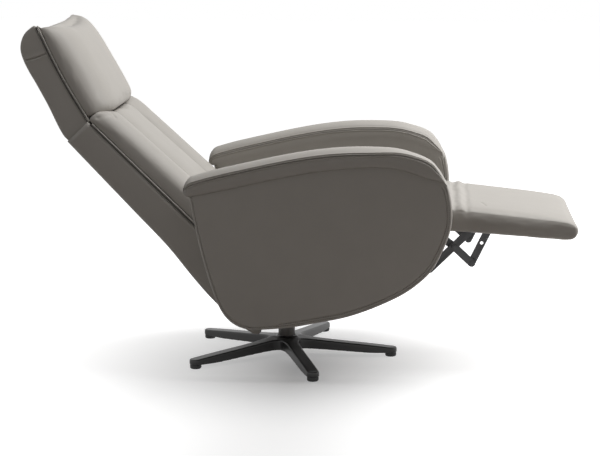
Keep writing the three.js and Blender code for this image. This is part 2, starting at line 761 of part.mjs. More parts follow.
// Back cushion and bolsters, lofted up the back over the seam line
const cushionSectionShares = crownShares(10, 0.62);
const cushionEdgeShare = 0.12;
const cushionStationShares = [
  [0, 0.82, 0.7], [0.025, 0.96, 0.9], [0.1, 1, 1], [0.3, 1, 1], [0.5, 1, 0.99],
  [0.7, 1, 0.97], [0.86, 1, 0.96], [0.96, 0.97, 0.9], [1, 0.86, 0.72],
];
const topFaceLean = Math.tan(radians(headForwardRoom / 2));
function cushionRing([u, width, height], middle, half, crownShare) {
  const crown = (bolsterCrownLow + (bolsterCrownTop - bolsterCrownLow) * u) * crownShare * height;
  const lean = u > 0.5 ? topFaceLean * (u - 0.5) * 2 : 0;
  const s = cushionFootS + (cushionTopS - seatGap - cushionFootS) * u;
  const base = seamAt(s) + seatGap;
  const rise = (h) => crown * (cushionEdgeShare + (1 - cushionEdgeShare) * h);
  const section = cushionSectionShares.map(([y, h]) => [half * width * y, base + rise(h)]);
  section.push([-half * width + cushionDrawIn, base], [half * width - cushionDrawIn, base]);
  return section.map(([y, n]) => {
    const [x, z] = backPoint(s - lean * (n - headHingeN), n);
    return new THREE.Vector3(x, middle + y, z);
  });
}
const bolsterHalf = (backHalfWidth - bolsterInnerOffset - seatGap) / 2;
const bolsterMiddle = (backHalfWidth + bolsterInnerOffset) / 2;
const centreHalf = bolsterInnerOffset - seatGap;
place("back_cushion", loft(cushionStationShares.map((row) => cushionRing(row, 0, centreHalf,
  centreCrownShare))), finishes.leather);
for (const { name, sign } of sides) {
  place(`bolster_${name}`, loft(cushionStationShares.map((row) => cushionRing(row, sign * bolsterMiddle,
    bolsterHalf, 1))), finishes.leather);
}

// Back frame: uprights, cross tubes, pivot brackets and the headrest hinges
const uprightInnerN = backRearWall + seatGap;
const uprightOutline = [
  backPoint(uprightFootS, uprightInnerN), backPoint(uprightFootS, uprightInnerN + uprightDepth),
  backPoint(uprightTopS, uprightInnerN + uprightDepth), backPoint(uprightTopS, uprightInnerN),
];
const lowerCross = backPoint(lowerCrossS, backTubeN);
const upperCross = backPoint(upperCrossS, backTubeN);
for (const { name, sign } of sides) {
  place(`back_upright_${name}`, plateXZ(uprightOutline, sign * (backBracketOuter + seatGap),
    sign * (backBracketOuter + seatGap + uprightWidth)), finishes.steel);
  const bracket = plateXZ(hullOutline([
    [reclinePivot, reclineLugRadius], [backPoint(lowerCrossS, backTubeN), backBracketRadius],
    [backPoint(backBracketReach, backTubeN), backBracketRadius],
  ]), sign * backBracketOffset, sign * backBracketOuter);
  const bore = rodY(reclineShaftRadius + seatGap, sign * (backBracketOffset - cutOver),
    sign * (backBracketOuter + cutOver), reclinePivot, roundSegments);
  place(`back_bracket_${name}`, cut(bracket, bore), finishes.steel);
}
const cheekOutline = hullOutline([[gasBackPivot, gasEyeRadius], [lowerCross, crossTubeRadius]]);
const cheekInner = gasEyeWidth / 2 + seatGap;
const cheeks = sides.map(({ sign }) => plateXZ(cheekOutline, sign * cheekInner,
  sign * (cheekInner + gasCheekThickness)));
const cheekOuter = cheekInner + gasCheekThickness;
const cheekPin = rodY(gasPinRadius, -cheekOuter, cheekOuter, gasBackPivot);
const lowerCrossReach = backBracketOffset - seatGap;
place("back_cross_lower", join(
  rodY(crossTubeRadius, -lowerCrossReach, lowerCrossReach, lowerCross, roundSegments), ...cheeks, cheekPin,
), finishes.steel);
place("back_cross_upper", tubeY(crossTubeRadius, crossTubeRadius - crossTubeWall,
  -backBracketOuter, backBracketOuter, upperCross), finishes.steel);

for (const { name, sign } of sides) {
  const inner = sign * headHingeOffset;
  const outer = sign * (headHingeOffset + headHingeThickness);
  const bar = plateXZ(hullOutline([
    [upperCross, backTubeN - backRearWall - seatGap], [headHinge, headHingeHalfWidth],
  ]), inner, outer);
  const clampHole = rodY(crossTubeRadius + seatGap, inner - sign * cutOver, outer + sign * cutOver,
    upperCross, roundSegments);
  const eye = rodY(headAxleRadius + seatGap, inner - sign * cutOver, outer + sign * cutOver, headHinge);
  place(`headrest_hinge_${name}`, cut(bar, clampHole, eye), finishes.steel);
}

// Headrest shell: a wedge with a round tail that turns inside the back shell
const headPoint = railFrame(backPoint(backLength - headFootInset, headFootN), headAngle);
const headFrontAt = (u) => -headFrontSag * Math.sin(Math.PI * u);
const headFrontShares = [0, 0.2, 0.4, 0.6, 0.8, 1];
const headFront = headFrontShares.map((u) => headPoint(headLength * u, headFrontAt(u)));
const headRearShares = [
  [1.015, -0.02], [1, -0.4], [0.945, -0.72], [0.88, -0.9], [0.74, -1], [0.55, -0.99], [0.33, -1],
  [0.13, -1.06], [0.045, -1.02],
];
const headRear = headRearShares.map(([u, v]) => headPoint(headLength * u, headThickness * v));
const tailFrom = angleOf(headHinge, headRear.at(-1)) + 360;
const tailTo = 240;
const barrelTurn = 60;
const lowerFaceTurn = 8;
const tailLead = 4;
const tail = arcPoints(headHinge, headTailRadius, tailFrom + tailLead, tailTo, 5);
const headLowerLean = 360 + (backAngle - 90) + headForwardRoom / 2;
const headLowerFace = shift(headHinge, polar(headBarrelRadius, headLowerLean - lowerFaceTurn));
const headOutline = [
  ...headFront.slice(1), ...headRear, ...tail, shift(headHinge, polar(headBarrelRadius, tailTo)),
  shift(headHinge, polar(headBarrelRadius, tailTo + barrelTurn)), headLowerFace,
];
const barrelReach = headHingeOffset - hingeSideGap;
const headSolid = join(
  plateXZ(headOutline, -headHalfWidth, headHalfWidth, headEdgeRound / 3),
  rodY(headBarrelRadius, -barrelReach, barrelReach, headHinge, roundSegments),
);
const slots = sides.map(({ sign }) => rodY(headSlotRadius, sign * barrelReach,
  sign * (headHingeOffset + headHingeThickness + hingeSideGap), headHinge, roundSegments));
const axleReach = headHingeOffset + headHingeThickness + cutOver * 2;
const axleBore = rodY(headAxleRadius + seatGap, -axleReach - seatGap, axleReach + seatGap, headHinge);
place("headrest_shell", cut(headSolid, ...slots, axleBore), finishes.leatherShade);
place("headrest_axle", rodY(headAxleRadius, -axleReach, axleReach, headHinge), finishes.zinc);

// Headrest pad: crowned, thicker low down, with its top edge dipping between raised corners
const headPadShares = [
  [0.03, 0.72, 0.95], [0.07, 0.86, 0.985], [0.2, 0.95, 1], [0.4, 1, 1], [0.62, 0.94, 1],
  [0.82, 0.78, 1], [0.93, 0.6, 0.99], [0.99, 0.32, 0.96],
];
const headSectionShares = crownShares(12, 0.5);
const headPadEdgeShare = 0.1;
const headPadLiftPower = 4;
const headPadRings = headPadShares.map(([u, height, width]) => {
  const crown = headPadThickness * height;
  const half = headPadHalfWidth * width;
  const lift = headPadLift * u ** headPadLiftPower;
  const lean = u < 0.5 ? topFaceLean * (1 - 2 * u) : 0;
  const base = Math.max(headFrontAt(u), headFrontAt(headFrontShares.find((share) => share >= u))) + seatGap;
  const rise = (h) => crown * (headPadEdgeShare + (1 - headPadEdgeShare) * h);
  const section = headSectionShares.map(([y, h]) => [half * y, base + rise(h)]);
  section.push([-half + cushionDrawIn, base], [half - cushionDrawIn, base]);
  return section.map(([y, n]) => {
    const raise = lift * ((y / half) ** 2 - 1) + lean * n * 2;
    const [x, z] = headPoint(headLength * u + raise, n);
    return new THREE.Vector3(x, y, z);
  });
});
place("headrest_pad", loft(headPadRings), finishes.leather);

// Footrest linkage: flat bars in layers, each carrying the pins that its pivots turn on
const apexPivot = shift(crossingPivot, polar(apexLength, apexAngle));
const liftTop = shift(crossingPivot, polar(liftUpperLength, liftAngle));
const liftFoot = shift(crossingPivot, polar(-liftLowerLength, liftAngle));
const stayTop = shift(apexPivot, polar(stayLength, stayAngle));
const layer = (index) => [linkOffset + index * linkPitch, linkOffset + index * linkPitch + linkThickness];
const [crossInner, crossOuter] = layer(0);
const [liftInner, liftOuter] = layer(1);
const [stayInner, stayOuter] = layer(-1);

const bar = (from, to, [inner, outer], sign, radius = linkHalfWidth) => plateXZ(
  hullOutline([[from, radius], [to, radius]], eyeSegments), sign * inner, sign * outer);
const hole = (centre, radius, [inner, outer], sign) => rodY(radius,
  sign * (inner - pinFlushHeight), sign * (outer + pinFlushHeight), centre);
const pin = (centre, steps, sign) => turnedAlongY(
  (sign > 0 ? steps : steps.map(([y, r]) => [-y, r]).reverse()), centre);

for (const { name, sign } of sides) {
  const pinBore = pinRadius + seatGap;

  // Chassis pins, riveted through the side plate
  const chassisPin = [
    [crossInner - seatGap - pinHeadHeight, pinHeadRadius], [crossInner - seatGap, pinHeadRadius],
    [crossInner - seatGap, pinRadius], [crossOuter + seatGap, pinRadius],
    [crossOuter + seatGap, pinHeadRadius], [sidePlateOffset - seatGap, pinHeadRadius],
    [sidePlateOffset - seatGap, pinRadius], [sidePlateOuter + seatGap, pinRadius],
    [sidePlateOuter + seatGap, pinHeadRadius], [sidePlateOuter + seatGap + pinFlushHeight, pinHeadRadius],
  ];
  place(`front_pivot_pin_${name}`, pin(frontLinkPivot, chassisPin, sign), finishes.zinc);
  place(`rear_pivot_pin_${name}`, pin(rearLinkPivot, chassisPin, sign), finishes.zinc);

  // Cross link with the crossing pin and the apex pin
  const crossingPin = [
    [crossInner - pinHeadHeight / 2, crossingHeadRadius], [crossInner, crossingHeadRadius],
    [crossInner, pinRadius], [liftOuter + seatGap, pinRadius],
    [liftOuter + seatGap, pinHeadRadius], [liftOuter + seatGap + pinFlushHeight, pinHeadRadius],
  ];
  const apexPin = [
    [stayInner - seatGap - pinHeadHeight, pinHeadRadius], [stayInner - seatGap, pinHeadRadius],
    [stayInner - seatGap, pinRadius], [crossOuter, pinRadius],
  ];
  const crossBar = cut(
    join(bar(frontLinkPivot, crossingPivot, [crossInner, crossOuter], sign),
      bar(crossingPivot, apexPivot, [crossInner, crossOuter], sign)),
    hole(frontLinkPivot, pinBore, [crossInner, crossOuter], sign),
  );
  place(`cross_link_${name}`, join(crossBar, pin(crossingPivot, crossingPin, sign),
    pin(apexPivot, apexPin, sign)), finishes.steel);

  // Lift link with the bracket pin at its top and a wide eye at its foot
  const topPin = [
    [crossInner - seatGap - pinHeadHeight / 2, pinHeadRadius], [crossInner - seatGap, pinHeadRadius],
    [crossInner - seatGap, pinRadius], [liftOuter, pinRadius],
  ];
  const liftBar = cut(bar(liftFoot, liftTop, [liftInner, liftOuter], sign),
    hole(crossingPivot, pinBore, [liftInner, liftOuter], sign),
    hole(liftFoot, pinRadius + rearPivotPlay, [liftInner, liftOuter], sign));
  place(`lift_link_${name}`, join(liftBar, pin(liftTop, topPin, sign)), finishes.steel);

  // Rear link with the pin that rides in the lift link's foot
  const footPin = [
    [crossInner, pinRadius], [liftOuter + seatGap, pinRadius],
    [liftOuter + seatGap, linkHalfWidth], [liftOuter + seatGap + pinFlushHeight, linkHalfWidth],
  ];
  const rearBar = cut(bar(rearLinkPivot, liftFoot, [crossInner, crossOuter], sign),
    hole(rearLinkPivot, pinBore, [crossInner, crossOuter], sign));
  place(`rear_link_${name}`, join(rearBar, pin(liftFoot, footPin, sign)), finishes.steel);

  // Stay link with its spare hole and the pin that guides the bracket
  const guidePin = [
    [stayInner, pinRadius], [crossOuter, pinRadius],
  ];
  const stayHole = shift(apexPivot, polar(stayHoleAt, stayAngle));
  const stayBar = cut(bar(apexPivot, stayTop, [stayInner, stayOuter], sign),
    hole(apexPivot, pinBore, [stayInner, stayOuter], sign),
    hole(stayHole, stayHoleRadius, [stayInner, stayOuter], sign));
  place(`stay_link_${name}`, join(stayBar, pin(stayTop, guidePin, sign)), finishes.steel);
}

// Footrest: a crowned pad with a recess under it, a board in the recess and a bracket on each side
const footrestLength = footrestFrontX - footrestRearX;
const footrestTopAt = (u) => footrestTopRear + (footrestTopFront - footrestTopRear) * u;
const footrestBottomAt = (u) => footrestBottomRear + (footrestBottomFront - footrestBottomRear)
  * Math.min(1, u / 0.9);
const footrestStationShares = [
  [0, 0.98, 0.7, 0], [0.03, 1, 1, 0], [0.12, 1, 1.1, 0], [0.2, 1, 0.95, 0], [0.24, 1, 0.4, 0],
  [0.28, 1, 0.75, 0], [0.45, 1, 0.85, 0], [0.7, 1, 0.75, 0], [0.9, 1, 0.5, 0], [0.965, 0.985, 0.15, 0.12],
  [1, 0.955, -0.55, 0.55],
];
const footrestSectionShares = crownShares(10, 0.4);
function footrestRing([u, width, crown, lift]) {
  const top = footrestTopAt(u);
  const bottom = footrestBottomAt(u);
  const half = footrestHalfWidth * width;
  const foot = bottom + (top - bottom) * lift;
  const shoulder = foot + (top - foot) * 0.75;
  const upper = footrestSectionShares.map(([y, h]) => [half * y,
    shoulder + (top - shoulder + footrestCrown * crown) * h]);
  const section = [...upper, [-half, foot + seatDrawIn], [-half + seatDrawIn, foot],
    [half - seatDrawIn, foot], [half, foot + seatDrawIn]];
  return section.map(([y, z]) => new THREE.Vector3(footrestRearX + footrestLength * u, y, z));
}
const recessHalf = footrestHalfWidth - footrestWall;
const recessAt = (x, rise) => [x, footrestBottomAt((x - footrestRearX) / footrestLength) + rise];
const recessOutline = [
  recessAt(footrestRearX - cutOver, -cutOver), recessAt(footrestRecessEnd, -cutOver),
  recessAt(footrestRecessEnd, footrestRecess), recessAt(footrestRearX - cutOver, footrestRecess),
];
place("footrest_pad", cut(loft(footrestStationShares.map(footrestRing)),
  plateXZ(recessOutline, -recessHalf, recessHalf)), finishes.leather);

const boardTop = footrestRecess - seatGap;
const boardFoot = boardTop - footrestBoardThickness;
const boardRear = footrestRearX + seatDrawIn;
const boardFront = footrestRecessEnd - seatGap;
place("footrest_board", plateXZ([
  recessAt(boardRear, boardFoot), recessAt(boardFront, boardFoot),
  recessAt(boardFront, boardTop), recessAt(boardRear, boardTop),
], -recessHalf + seatGap, recessHalf - seatGap), finishes.board);

const bracketTopRise = boardFoot - seatGap;
const bracketRearShare = 0.35;
const bracketFlangeShare = 3;
const lugFrom = 200;
const lugTo = 340;
for (const { name, sign } of sides) {
  const bracketRear = liftTop[0] - bracketLength * bracketRearShare;
  const bracketFront = bracketRear + bracketLength;
  const outline = [
    recessAt(bracketRear, bracketTopRise), recessAt(bracketRear, bracketTopRise - linkThickness),
    ...arcPoints(liftTop, bracketLugRadius, lugFrom, lugTo, 6),
    recessAt(bracketFront, bracketTopRise - linkThickness), recessAt(bracketFront, bracketTopRise),
  ];
  const web = plateXZ(outline, sign * crossInner, sign * crossOuter);
  const flange = plateXZ([
    recessAt(bracketRear, bracketTopRise - linkThickness / 2),
    recessAt(bracketFront, bracketTopRise - linkThickness / 2),
    recessAt(bracketFront, bracketTopRise), recessAt(bracketRear, bracketTopRise),
  ], sign * crossInner, sign * (crossInner + bracketLugRadius * bracketFlangeShare));
  const notch = rodY(pinRadius + openPivotPlay, sign * (crossInner - cutOver), sign * (crossOuter + cutOver),
    stayTop, roundSegments);
  const eye = hole(liftTop, pinRadius + seatGap, [crossInner, crossOuter], sign);
  place(`footrest_bracket_${name}`, cut(join(web, flange), notch, eye), finishes.steel);
}

// Gas spring between the chassis pin and the back's lower cross tube
const gasAngle = angleOf(gasChassisPivot, gasBackPivot);
const gasSpan = distance(gasChassisPivot, gasBackPivot);
function gasPart(profile) {
  const geometry = turned(profile, eyeSegments);
  geometry.rotateY(Math.PI / 2);
  geometry.rotateY(-radians(gasAngle));
  geometry.translate(gasChassisPivot[0], 0, gasChassisPivot[1]);
  return geometry;
}
const eyeAt = (centre, clearance) => tubeY(gasEyeRadius, gasPinRadius + clearance, -gasEyeWidth / 2,
  gasEyeWidth / 2, centre, eyeSegments);
const gasNeck = gasEyeRadius - linkThickness / 2;
const gasTubeEnd = gasNeck + gasTubeLength;
const gasRodEnd = gasSpan - gasNeck;
const gasTube = gasPart([
  [0, gasNeck], [gasTubeRadius, gasNeck + linkThickness], [gasTubeRadius, gasTubeEnd], [0, gasTubeEnd],
]);
const gasBoreFoot = gasTubeEnd - gasRodInside - seatGap;
const gasBore = gasPart([
  [0, gasBoreFoot], [gasRodRadius + seatGap, gasBoreFoot],
  [gasRodRadius + seatGap, gasTubeEnd + cutOver], [0, gasTubeEnd + cutOver],
]);
place("gas_spring_cylinder", join(eyeAt(gasChassisPivot, seatGap), cut(gasTube, gasBore)), finishes.glide);
place("gas_spring_rod", join(
  eyeAt(gasBackPivot, gasEyePlay),
  gasPart([[0, gasTubeEnd - gasRodInside], [gasRodRadius, gasTubeEnd - gasRodInside],
    [gasRodRadius, gasRodEnd], [0, gasRodEnd]]),
), finishes.zinc);

export default group;
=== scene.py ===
# %% [markdown]
# Star base swivel recliner, leaned back with its footrest out.
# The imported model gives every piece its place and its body. This file dresses it: each soft piece is
# sewn and padded anew over its plain solid, and each hard piece gets the finish that it was made with.

# %% Load the frame
import json
import math

import bmesh
import bpy
import numpy as np
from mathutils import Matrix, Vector, noise
from mathutils.geometry import delaunay_2d_cdt


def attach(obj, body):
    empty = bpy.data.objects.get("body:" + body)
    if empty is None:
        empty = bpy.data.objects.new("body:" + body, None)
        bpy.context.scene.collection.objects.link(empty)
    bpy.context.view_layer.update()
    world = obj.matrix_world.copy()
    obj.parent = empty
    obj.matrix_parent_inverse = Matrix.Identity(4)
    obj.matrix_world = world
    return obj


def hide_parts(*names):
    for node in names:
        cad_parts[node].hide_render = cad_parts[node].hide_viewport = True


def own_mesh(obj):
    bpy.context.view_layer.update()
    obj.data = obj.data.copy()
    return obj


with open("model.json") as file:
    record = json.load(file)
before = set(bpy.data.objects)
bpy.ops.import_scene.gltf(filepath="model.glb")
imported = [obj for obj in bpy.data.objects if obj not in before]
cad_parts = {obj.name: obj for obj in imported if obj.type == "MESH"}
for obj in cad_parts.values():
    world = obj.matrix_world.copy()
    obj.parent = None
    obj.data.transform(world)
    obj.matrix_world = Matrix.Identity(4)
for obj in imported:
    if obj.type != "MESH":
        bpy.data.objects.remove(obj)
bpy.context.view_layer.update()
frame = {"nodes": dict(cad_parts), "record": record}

nodes = frame["nodes"]

# %% [markdown]
# All sizes below are in millimetres, as on a maker's drawing, and become metres when a mesh is made.
# Two lines of the chair are tilted: the back and the headrest. Each gets a frame of its own, where s runs
# up the line and n stands off it towards the sitter, so that their pieces can be drawn as if upright.

# %% Frames of the back and the headrest
MM = 0.001


def rail(origin, angle):
    along = np.array([math.cos(math.radians(angle)), math.sin(math.radians(angle))])
    off = np.array([along[1], -along[0]])
    return lambda s, y, n: (origin[0] + along[0] * s + off[0] * n, y, origin[1] + along[1] * s + off[1] * n)


back_at = rail((-89, 124), 133.4)
head_foot, head_angle = (-544, 727), 118
head_at = rail(head_foot, head_angle)
back_length, back_half, back_wall = 759, 250, 8
head_length, head_half, head_depth = 312, 243, 80


def seam_at(s):
    return 113 - 27 * (s - 100) / (back_length - 100)


print("top of the back", [round(v) for v in back_at(back_length, 0, 0)])

# %% [markdown]
# A curve that a person would draw with a batten is given by a few points. This helper runs a smooth line
# through them and returns points at even steps, and its twin reads a value off such a line.

# %% Smooth lines
def smooth_path(points, count):
    given = np.array(points, float)
    given = np.vstack([2 * given[0] - given[1], given, 2 * given[-1] - given[-2]])
    t = np.linspace(0, 1, 20, endpoint=False)[:, None]
    runs = [0.5 * (2 * b + (c - a) * t + (2 * a - 5 * b + 4 * c - d) * t ** 2 + (3 * b - a - 3 * c + d) * t ** 3)
            for a, b, c, d in zip(given, given[1:], given[2:], given[3:])]
    fine = np.vstack(runs + [given[-2][None]])
    along = np.concatenate([[0], np.cumsum(np.linalg.norm(np.diff(fine, axis=0), axis=1))])
    at = np.linspace(0, along[-1], count)
    return np.column_stack([np.interp(at, along, fine[:, k]) for k in range(given.shape[1])])


def read_off(shares, at):
    line = smooth_path(shares, 400)
    return np.interp(at, line[:, 0], line[:, 1])


# %% [markdown]
# A mesh comes from points and faces. Most soft pieces here are skins over rings: every ring has the same
# number of points, and the ends are closed by fans. Normals are worked out once the doubles are merged.
# A section that is the same on both sides is drawn as one half and mirrored.

# %% Make a mesh piece
def link_object(name, data):
    piece = bpy.data.objects.new(name, data)
    bpy.context.scene.collection.objects.link(piece)
    return piece


def mesh_object(name, points, edges=(), faces=()):
    mesh = bpy.data.meshes.new(name)
    mesh.from_pydata([tuple(v) for v in np.array(points, float) * MM], list(edges), [tuple(f) for f in faces])
    return link_object(name, mesh)


def make_piece(name, points, faces, material):
    piece = mesh_object(name, points, faces=faces)
    work = bmesh.new()
    work.from_mesh(piece.data)
    bmesh.ops.remove_doubles(work, verts=work.verts, dist=0.00001)
    bmesh.ops.recalc_face_normals(work, faces=work.faces)
    if work.calc_volume(signed=True) < 0:
        bmesh.ops.reverse_faces(work, faces=work.faces)
    work.to_mesh(piece.data)
    work.free()
    smooth_faces(piece.data)
    piece.data.materials.append(material)
    return piece


def smooth_faces(mesh):
    for polygon in mesh.polygons:
        polygon.use_smooth = True


def ring_faces(ring_count, count, first=0):
    """The quads between closed rings of points that follow one another in the list of points."""
    corners = [(first + i * count + k, first + i * count + (k + 1) % count)
               for i in range(ring_count - 1) for k in range(count)]
    return [(a, b, b + count, a + count) for a, b in corners]


def skin(name, rings, material):
    count = len(rings[0])
    points = [tuple(v) for ring in rings for v in ring]
    faces = ring_faces(len(rings), count)
    for start, ring in ((0, rings[0]), ((len(rings) - 1) * count, rings[-1])):
        points.append(tuple(np.mean(ring, axis=0)))
        faces += [(start + k, start + (k + 1) % count, len(points) - 1) for k in range(count)]
    return make_piece(name, points, faces, material)


def both_sides(half):
    """A half section of (y, height) that ends on the middle line, with its mirror image."""
    return half + [(-y, height) for y, height in half[-2::-1]]


def seat_on(piece, body, replaced=()):
    if replaced:
        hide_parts(*replaced)
    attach(piece, body)
    return piece


body_of_node = {node: body for body, members in frame["record"]["behaviour"]["bodies"].items() for node in members}
print("nodes with a body", len(body_of_node))

# %% [markdown]
# Every finish is a small tree of shader nodes. One function adds a node, sets it and wires its inputs.
# Colours are written as the hex value that a paint card gives and are turned to linear light once.

# %% Shader helpers
def set_inputs(tree, node, inputs):
    for name, value in inputs.items():
        if isinstance(value, bpy.types.NodeSocket):
            tree.links.new(value, node.inputs[name])
        else:
            node.inputs[name].default_value = value


def add_node(tree, kind, settings=None, inputs=None):
    node = tree.nodes.new(kind)
    for name, value in (settings or {}).items():
        setattr(node, name, value)
    set_inputs(tree, node, inputs or {})
    return node


def calculate(tree, operation, *values, vector=False):
    kind = "ShaderNodeVectorMath" if vector else "ShaderNodeMath"
    node = add_node(tree, kind, {"operation": operation}, dict(enumerate(values)))
    return node.outputs["Vector" if vector and operation != "LENGTH" else "Value"]


def linear(hex_colour):
    shares = [int(hex_colour[i:i + 2], 16) / 255 for i in (1, 3, 5)]
    return [c / 12.92 if c <= 0.04045 else ((c + 0.055) / 1.055) ** 2.4 for c in shares] + [1]


def two_tone(tree, share, low, high):
    blend = add_node(tree, "ShaderNodeMix", {"data_type": "RGBA"}, {"Factor": share, "A": low, "B": high})
    return blend.outputs["Result"]


def new_material(name):
    material = bpy.data.materials.new(name)
    material.use_nodes = True
    tree = material.node_tree
    return material, tree, tree.nodes["Principled BSDF"]


def noise_over(tree, place, size_mm, detail=2):
    return add_node(tree, "ShaderNodeTexNoise", None, {
        "Vector": place, "Scale": 1 / (size_mm * MM), "Detail": detail}).outputs["Fac"]


def mottled(tree, shader, low, high, size_mm):
    """Base colour that drifts between two hex values over patches of the given size."""
    place = add_node(tree, "ShaderNodeTexCoord").outputs["Object"]
    patches = noise_over(tree, place, size_mm, 3)
    set_inputs(tree, shader, {"Base Color": two_tone(tree, patches, linear(low), linear(high))})
    return place


def relief(tree, shader, height, depth_mm, strength, under=None):
    """Bump of the given depth, on top of another one's normal where that is given."""
    inputs = {"Height": height, "Distance": depth_mm * MM, "Strength": strength}
    if under is not None:
        inputs["Normal"] = under
    normal = add_node(tree, "ShaderNodeBump", None, inputs).outputs["Normal"]
    set_inputs(tree, shader, {"Normal": normal})
    return normal


# %% [markdown]
# The cover is smooth protected leather: a hide with a thin coloured resin coat, so the colour is even,
# the gloss is low and soft, and the pebbled grain shows only from close by. The real grain is about a
# millimetre across, and cells of 1.6 mm read the same at arm's length. A second, wider relief gives the
# slight drift that a stretched hide has over its foam.

# %% Leather
def protected_leather(name, low, high, rough):
    material, tree, shader = new_material(name)
    place = mottled(tree, shader, low, high, 70)
    cells = add_node(tree, "ShaderNodeTexVoronoi", {"feature": "SMOOTH_F1"},
                     {"Vector": place, "Scale": 1 / (1.6 * MM), "Smoothness": 0.6})
    grain = relief(tree, shader, cells.outputs["Distance"], 0.10, 0.35)
    relief(tree, shader, noise_over(tree, place, 28), 1.6, 0.25, grain)
    set_inputs(tree, shader, {"Roughness": rough, "IOR": 1.5, "Specular IOR Level": 0.3})
    return material


leather = protected_leather("protected_leather_taupe", "#A9A59F", "#AFABA5", 0.52)
leather_welt = protected_leather("protected_leather_welt", "#A4A09A", "#AAA6A0", 0.5)

# %% [markdown]
# The threads are bonded polyester a tone under the leather's, made darker still as painted shade so that
# the stitch rows darken the seam grooves, and the zip is woven black-brown tape.
# Both are matt, and both are too fine for more than a soft fibre relief.

# %% Thread and zip
def fibre(name, low, high, twist_mm):
    material, tree, shader = new_material(name)
    place = mottled(tree, shader, low, high, 6)
    relief(tree, shader, noise_over(tree, place, twist_mm), 0.1, 0.5)
    set_inputs(tree, shader, {"Roughness": 0.8})
    return material


# Thread colour: partly the thread's own darker tone, partly painted shade for the seam grooves.
thread = fibre("polyester_thread_with_painted_seam_shade", "#5E5953", "#6A655E", 0.5)
zip_tape = fibre("woven_zip_tape", "#2E2B28", "#3A3733", 0.6)

# %% [markdown]
# The base is die-cast aluminium under a graphite powder coat: fine orange peel, a satin gloss, and edges
# that catch the light. The links are pressed steel with a black dip coat, the pins are zinc plated, the
# glides are moulded nylon, and the boards are birch plywood with its long grain.

# %% Hard finishes
def coated_metal(name, low, high, rough, peel_mm, peel_depth):
    material, tree, shader = new_material(name)
    place = mottled(tree, shader, low, high, 40)
    relief(tree, shader, noise_over(tree, place, peel_mm, 1), peel_depth, 0.4)
    set_inputs(tree, shader, {"Roughness": rough, "IOR": 1.52})
    return material


powder_coat = coated_metal("powder_coated_die_casting", "#1D1C1C", "#252423", 0.36, 1.8, 0.12)
# The column's pale grey is partly its own coat and partly painted reflection: it is lighter than the coat, standing in
# for the bright floor that the column reflects in the shade under the seat.
tube_coat_with_painted_reflection = coated_metal("grey_tube_coat_with_painted_reflection", "#A3A2A0", "#ACABA9", 0.25, 1.8, 0.12)
dip_coat = coated_metal("dip_coated_pressed_steel", "#343435", "#3C3C3D", 0.42, 1.2, 0.08)
nylon = coated_metal("moulded_black_nylon", "#141414", "#1B1B1B", 0.55, 0.8, 0.05)


def zinc_plate():
    material, tree, shader = new_material("zinc_plated_steel")
    place = mottled(tree, shader, "#A9ABAD", "#BFC1C2", 9)
    relief(tree, shader, noise_over(tree, place, 0.6), 0.03, 0.3)
    set_inputs(tree, shader, {"Metallic": 1, "Roughness": 0.34})
    return material


def birch_plywood():
    material, tree, shader = new_material("birch_plywood")
    place = add_node(tree, "ShaderNodeTexCoord").outputs["Object"]
    along = add_node(tree, "ShaderNodeMapping", None, {"Vector": place, "Scale": (8, 220, 220)})
    lines = noise_over(tree, along.outputs["Vector"], 1000, 5)
    relief(tree, shader, lines, 0.1, 0.4)
    set_inputs(tree, shader, {"Base Color": two_tone(tree, lines, linear("#B38B5E"), linear("#D0AE82")),
                              "Roughness": 0.6})
    return material


zinc = zinc_plate()
plywood = birch_plywood()
print("finishes", [m.name for m in bpy.data.materials])

# %% [markdown]
# Pressed and turned parts have no sharp corners: a tumbled edge takes up about half a millimetre, and it is
# what catches the light. Each of them is copied from the frame, its corners are merged, its sharp edges
# get that small round, and curved faces are shaded smooth.

# %% Dress the hard pieces
slot_finish = {"painted_steel": dip_coat, "zinc_steel": zinc, "nylon": nylon, "plywood": plywood}
remade = {"column_tube", "star_base"}
FLAT_ANGLE, SMOOTH_ANGLE, SHARP_ANGLE = (math.radians(angle) for angle in (1, 41, 42))


def finished_copy(node, slot, edge_mm=0.6):
    source = nodes[node]
    mesh = source.data.copy()
    mesh.transform(source.matrix_world)
    piece = link_object(f"{node}_finished", mesh)
    work = bmesh.new()
    work.from_mesh(mesh)
    bmesh.ops.remove_doubles(work, verts=work.verts, dist=0.00002)
    bmesh.ops.dissolve_limit(work, angle_limit=FLAT_ANGLE, verts=work.verts, edges=work.edges)
    bmesh.ops.recalc_face_normals(work, faces=work.faces)
    sharp = [e for e in work.edges if len(e.link_faces) == 2 and e.calc_face_angle() > SHARP_ANGLE]
    bmesh.ops.bevel(work, geom=sharp, offset=edge_mm * MM, segments=2, profile=0.6, affect="EDGES",
                    clamp_overlap=True)
    for face in work.faces:
        face.smooth = True
    for edge in work.edges:
        edge.smooth = len(edge.link_faces) != 2 or edge.calc_face_angle() < SMOOTH_ANGLE
    work.to_mesh(mesh)
    work.free()
    mesh.materials.clear()
    mesh.materials.append(slot_finish[slot])
    return piece


hard_pieces = [(finished_copy(part["node"], part["material_slot"]), part) for part in frame["record"]["subparts"]
               if part["material_slot"] in slot_finish and part["node"] not in remade]
print("hard pieces", len(hard_pieces))

# %% [markdown]
# What repeats is grown by a tree of geometry nodes: a row of stitches is one small bead set at every
# pitch along a seam and turned to run with it, and the five legs are one leg spread round an axis. The
# tree ends in real geometry with its finish, and the result is stored as a plain mesh for its body.

# %% Geometry node helpers
def new_tree(name, sockets):
    tree = bpy.data.node_groups.new(name, "GeometryNodeTree")
    tree.interface.new_socket("Geometry", in_out="INPUT", socket_type="NodeSocketGeometry")
    for label, kind, value in sockets:
        socket = tree.interface.new_socket(label, in_out="INPUT", socket_type=kind)
        if value is not None:
            socket.default_value = value
    tree.interface.new_socket("Geometry", in_out="OUTPUT", socket_type="NodeSocketGeometry")
    return tree, add_node(tree, "NodeGroupInput").outputs


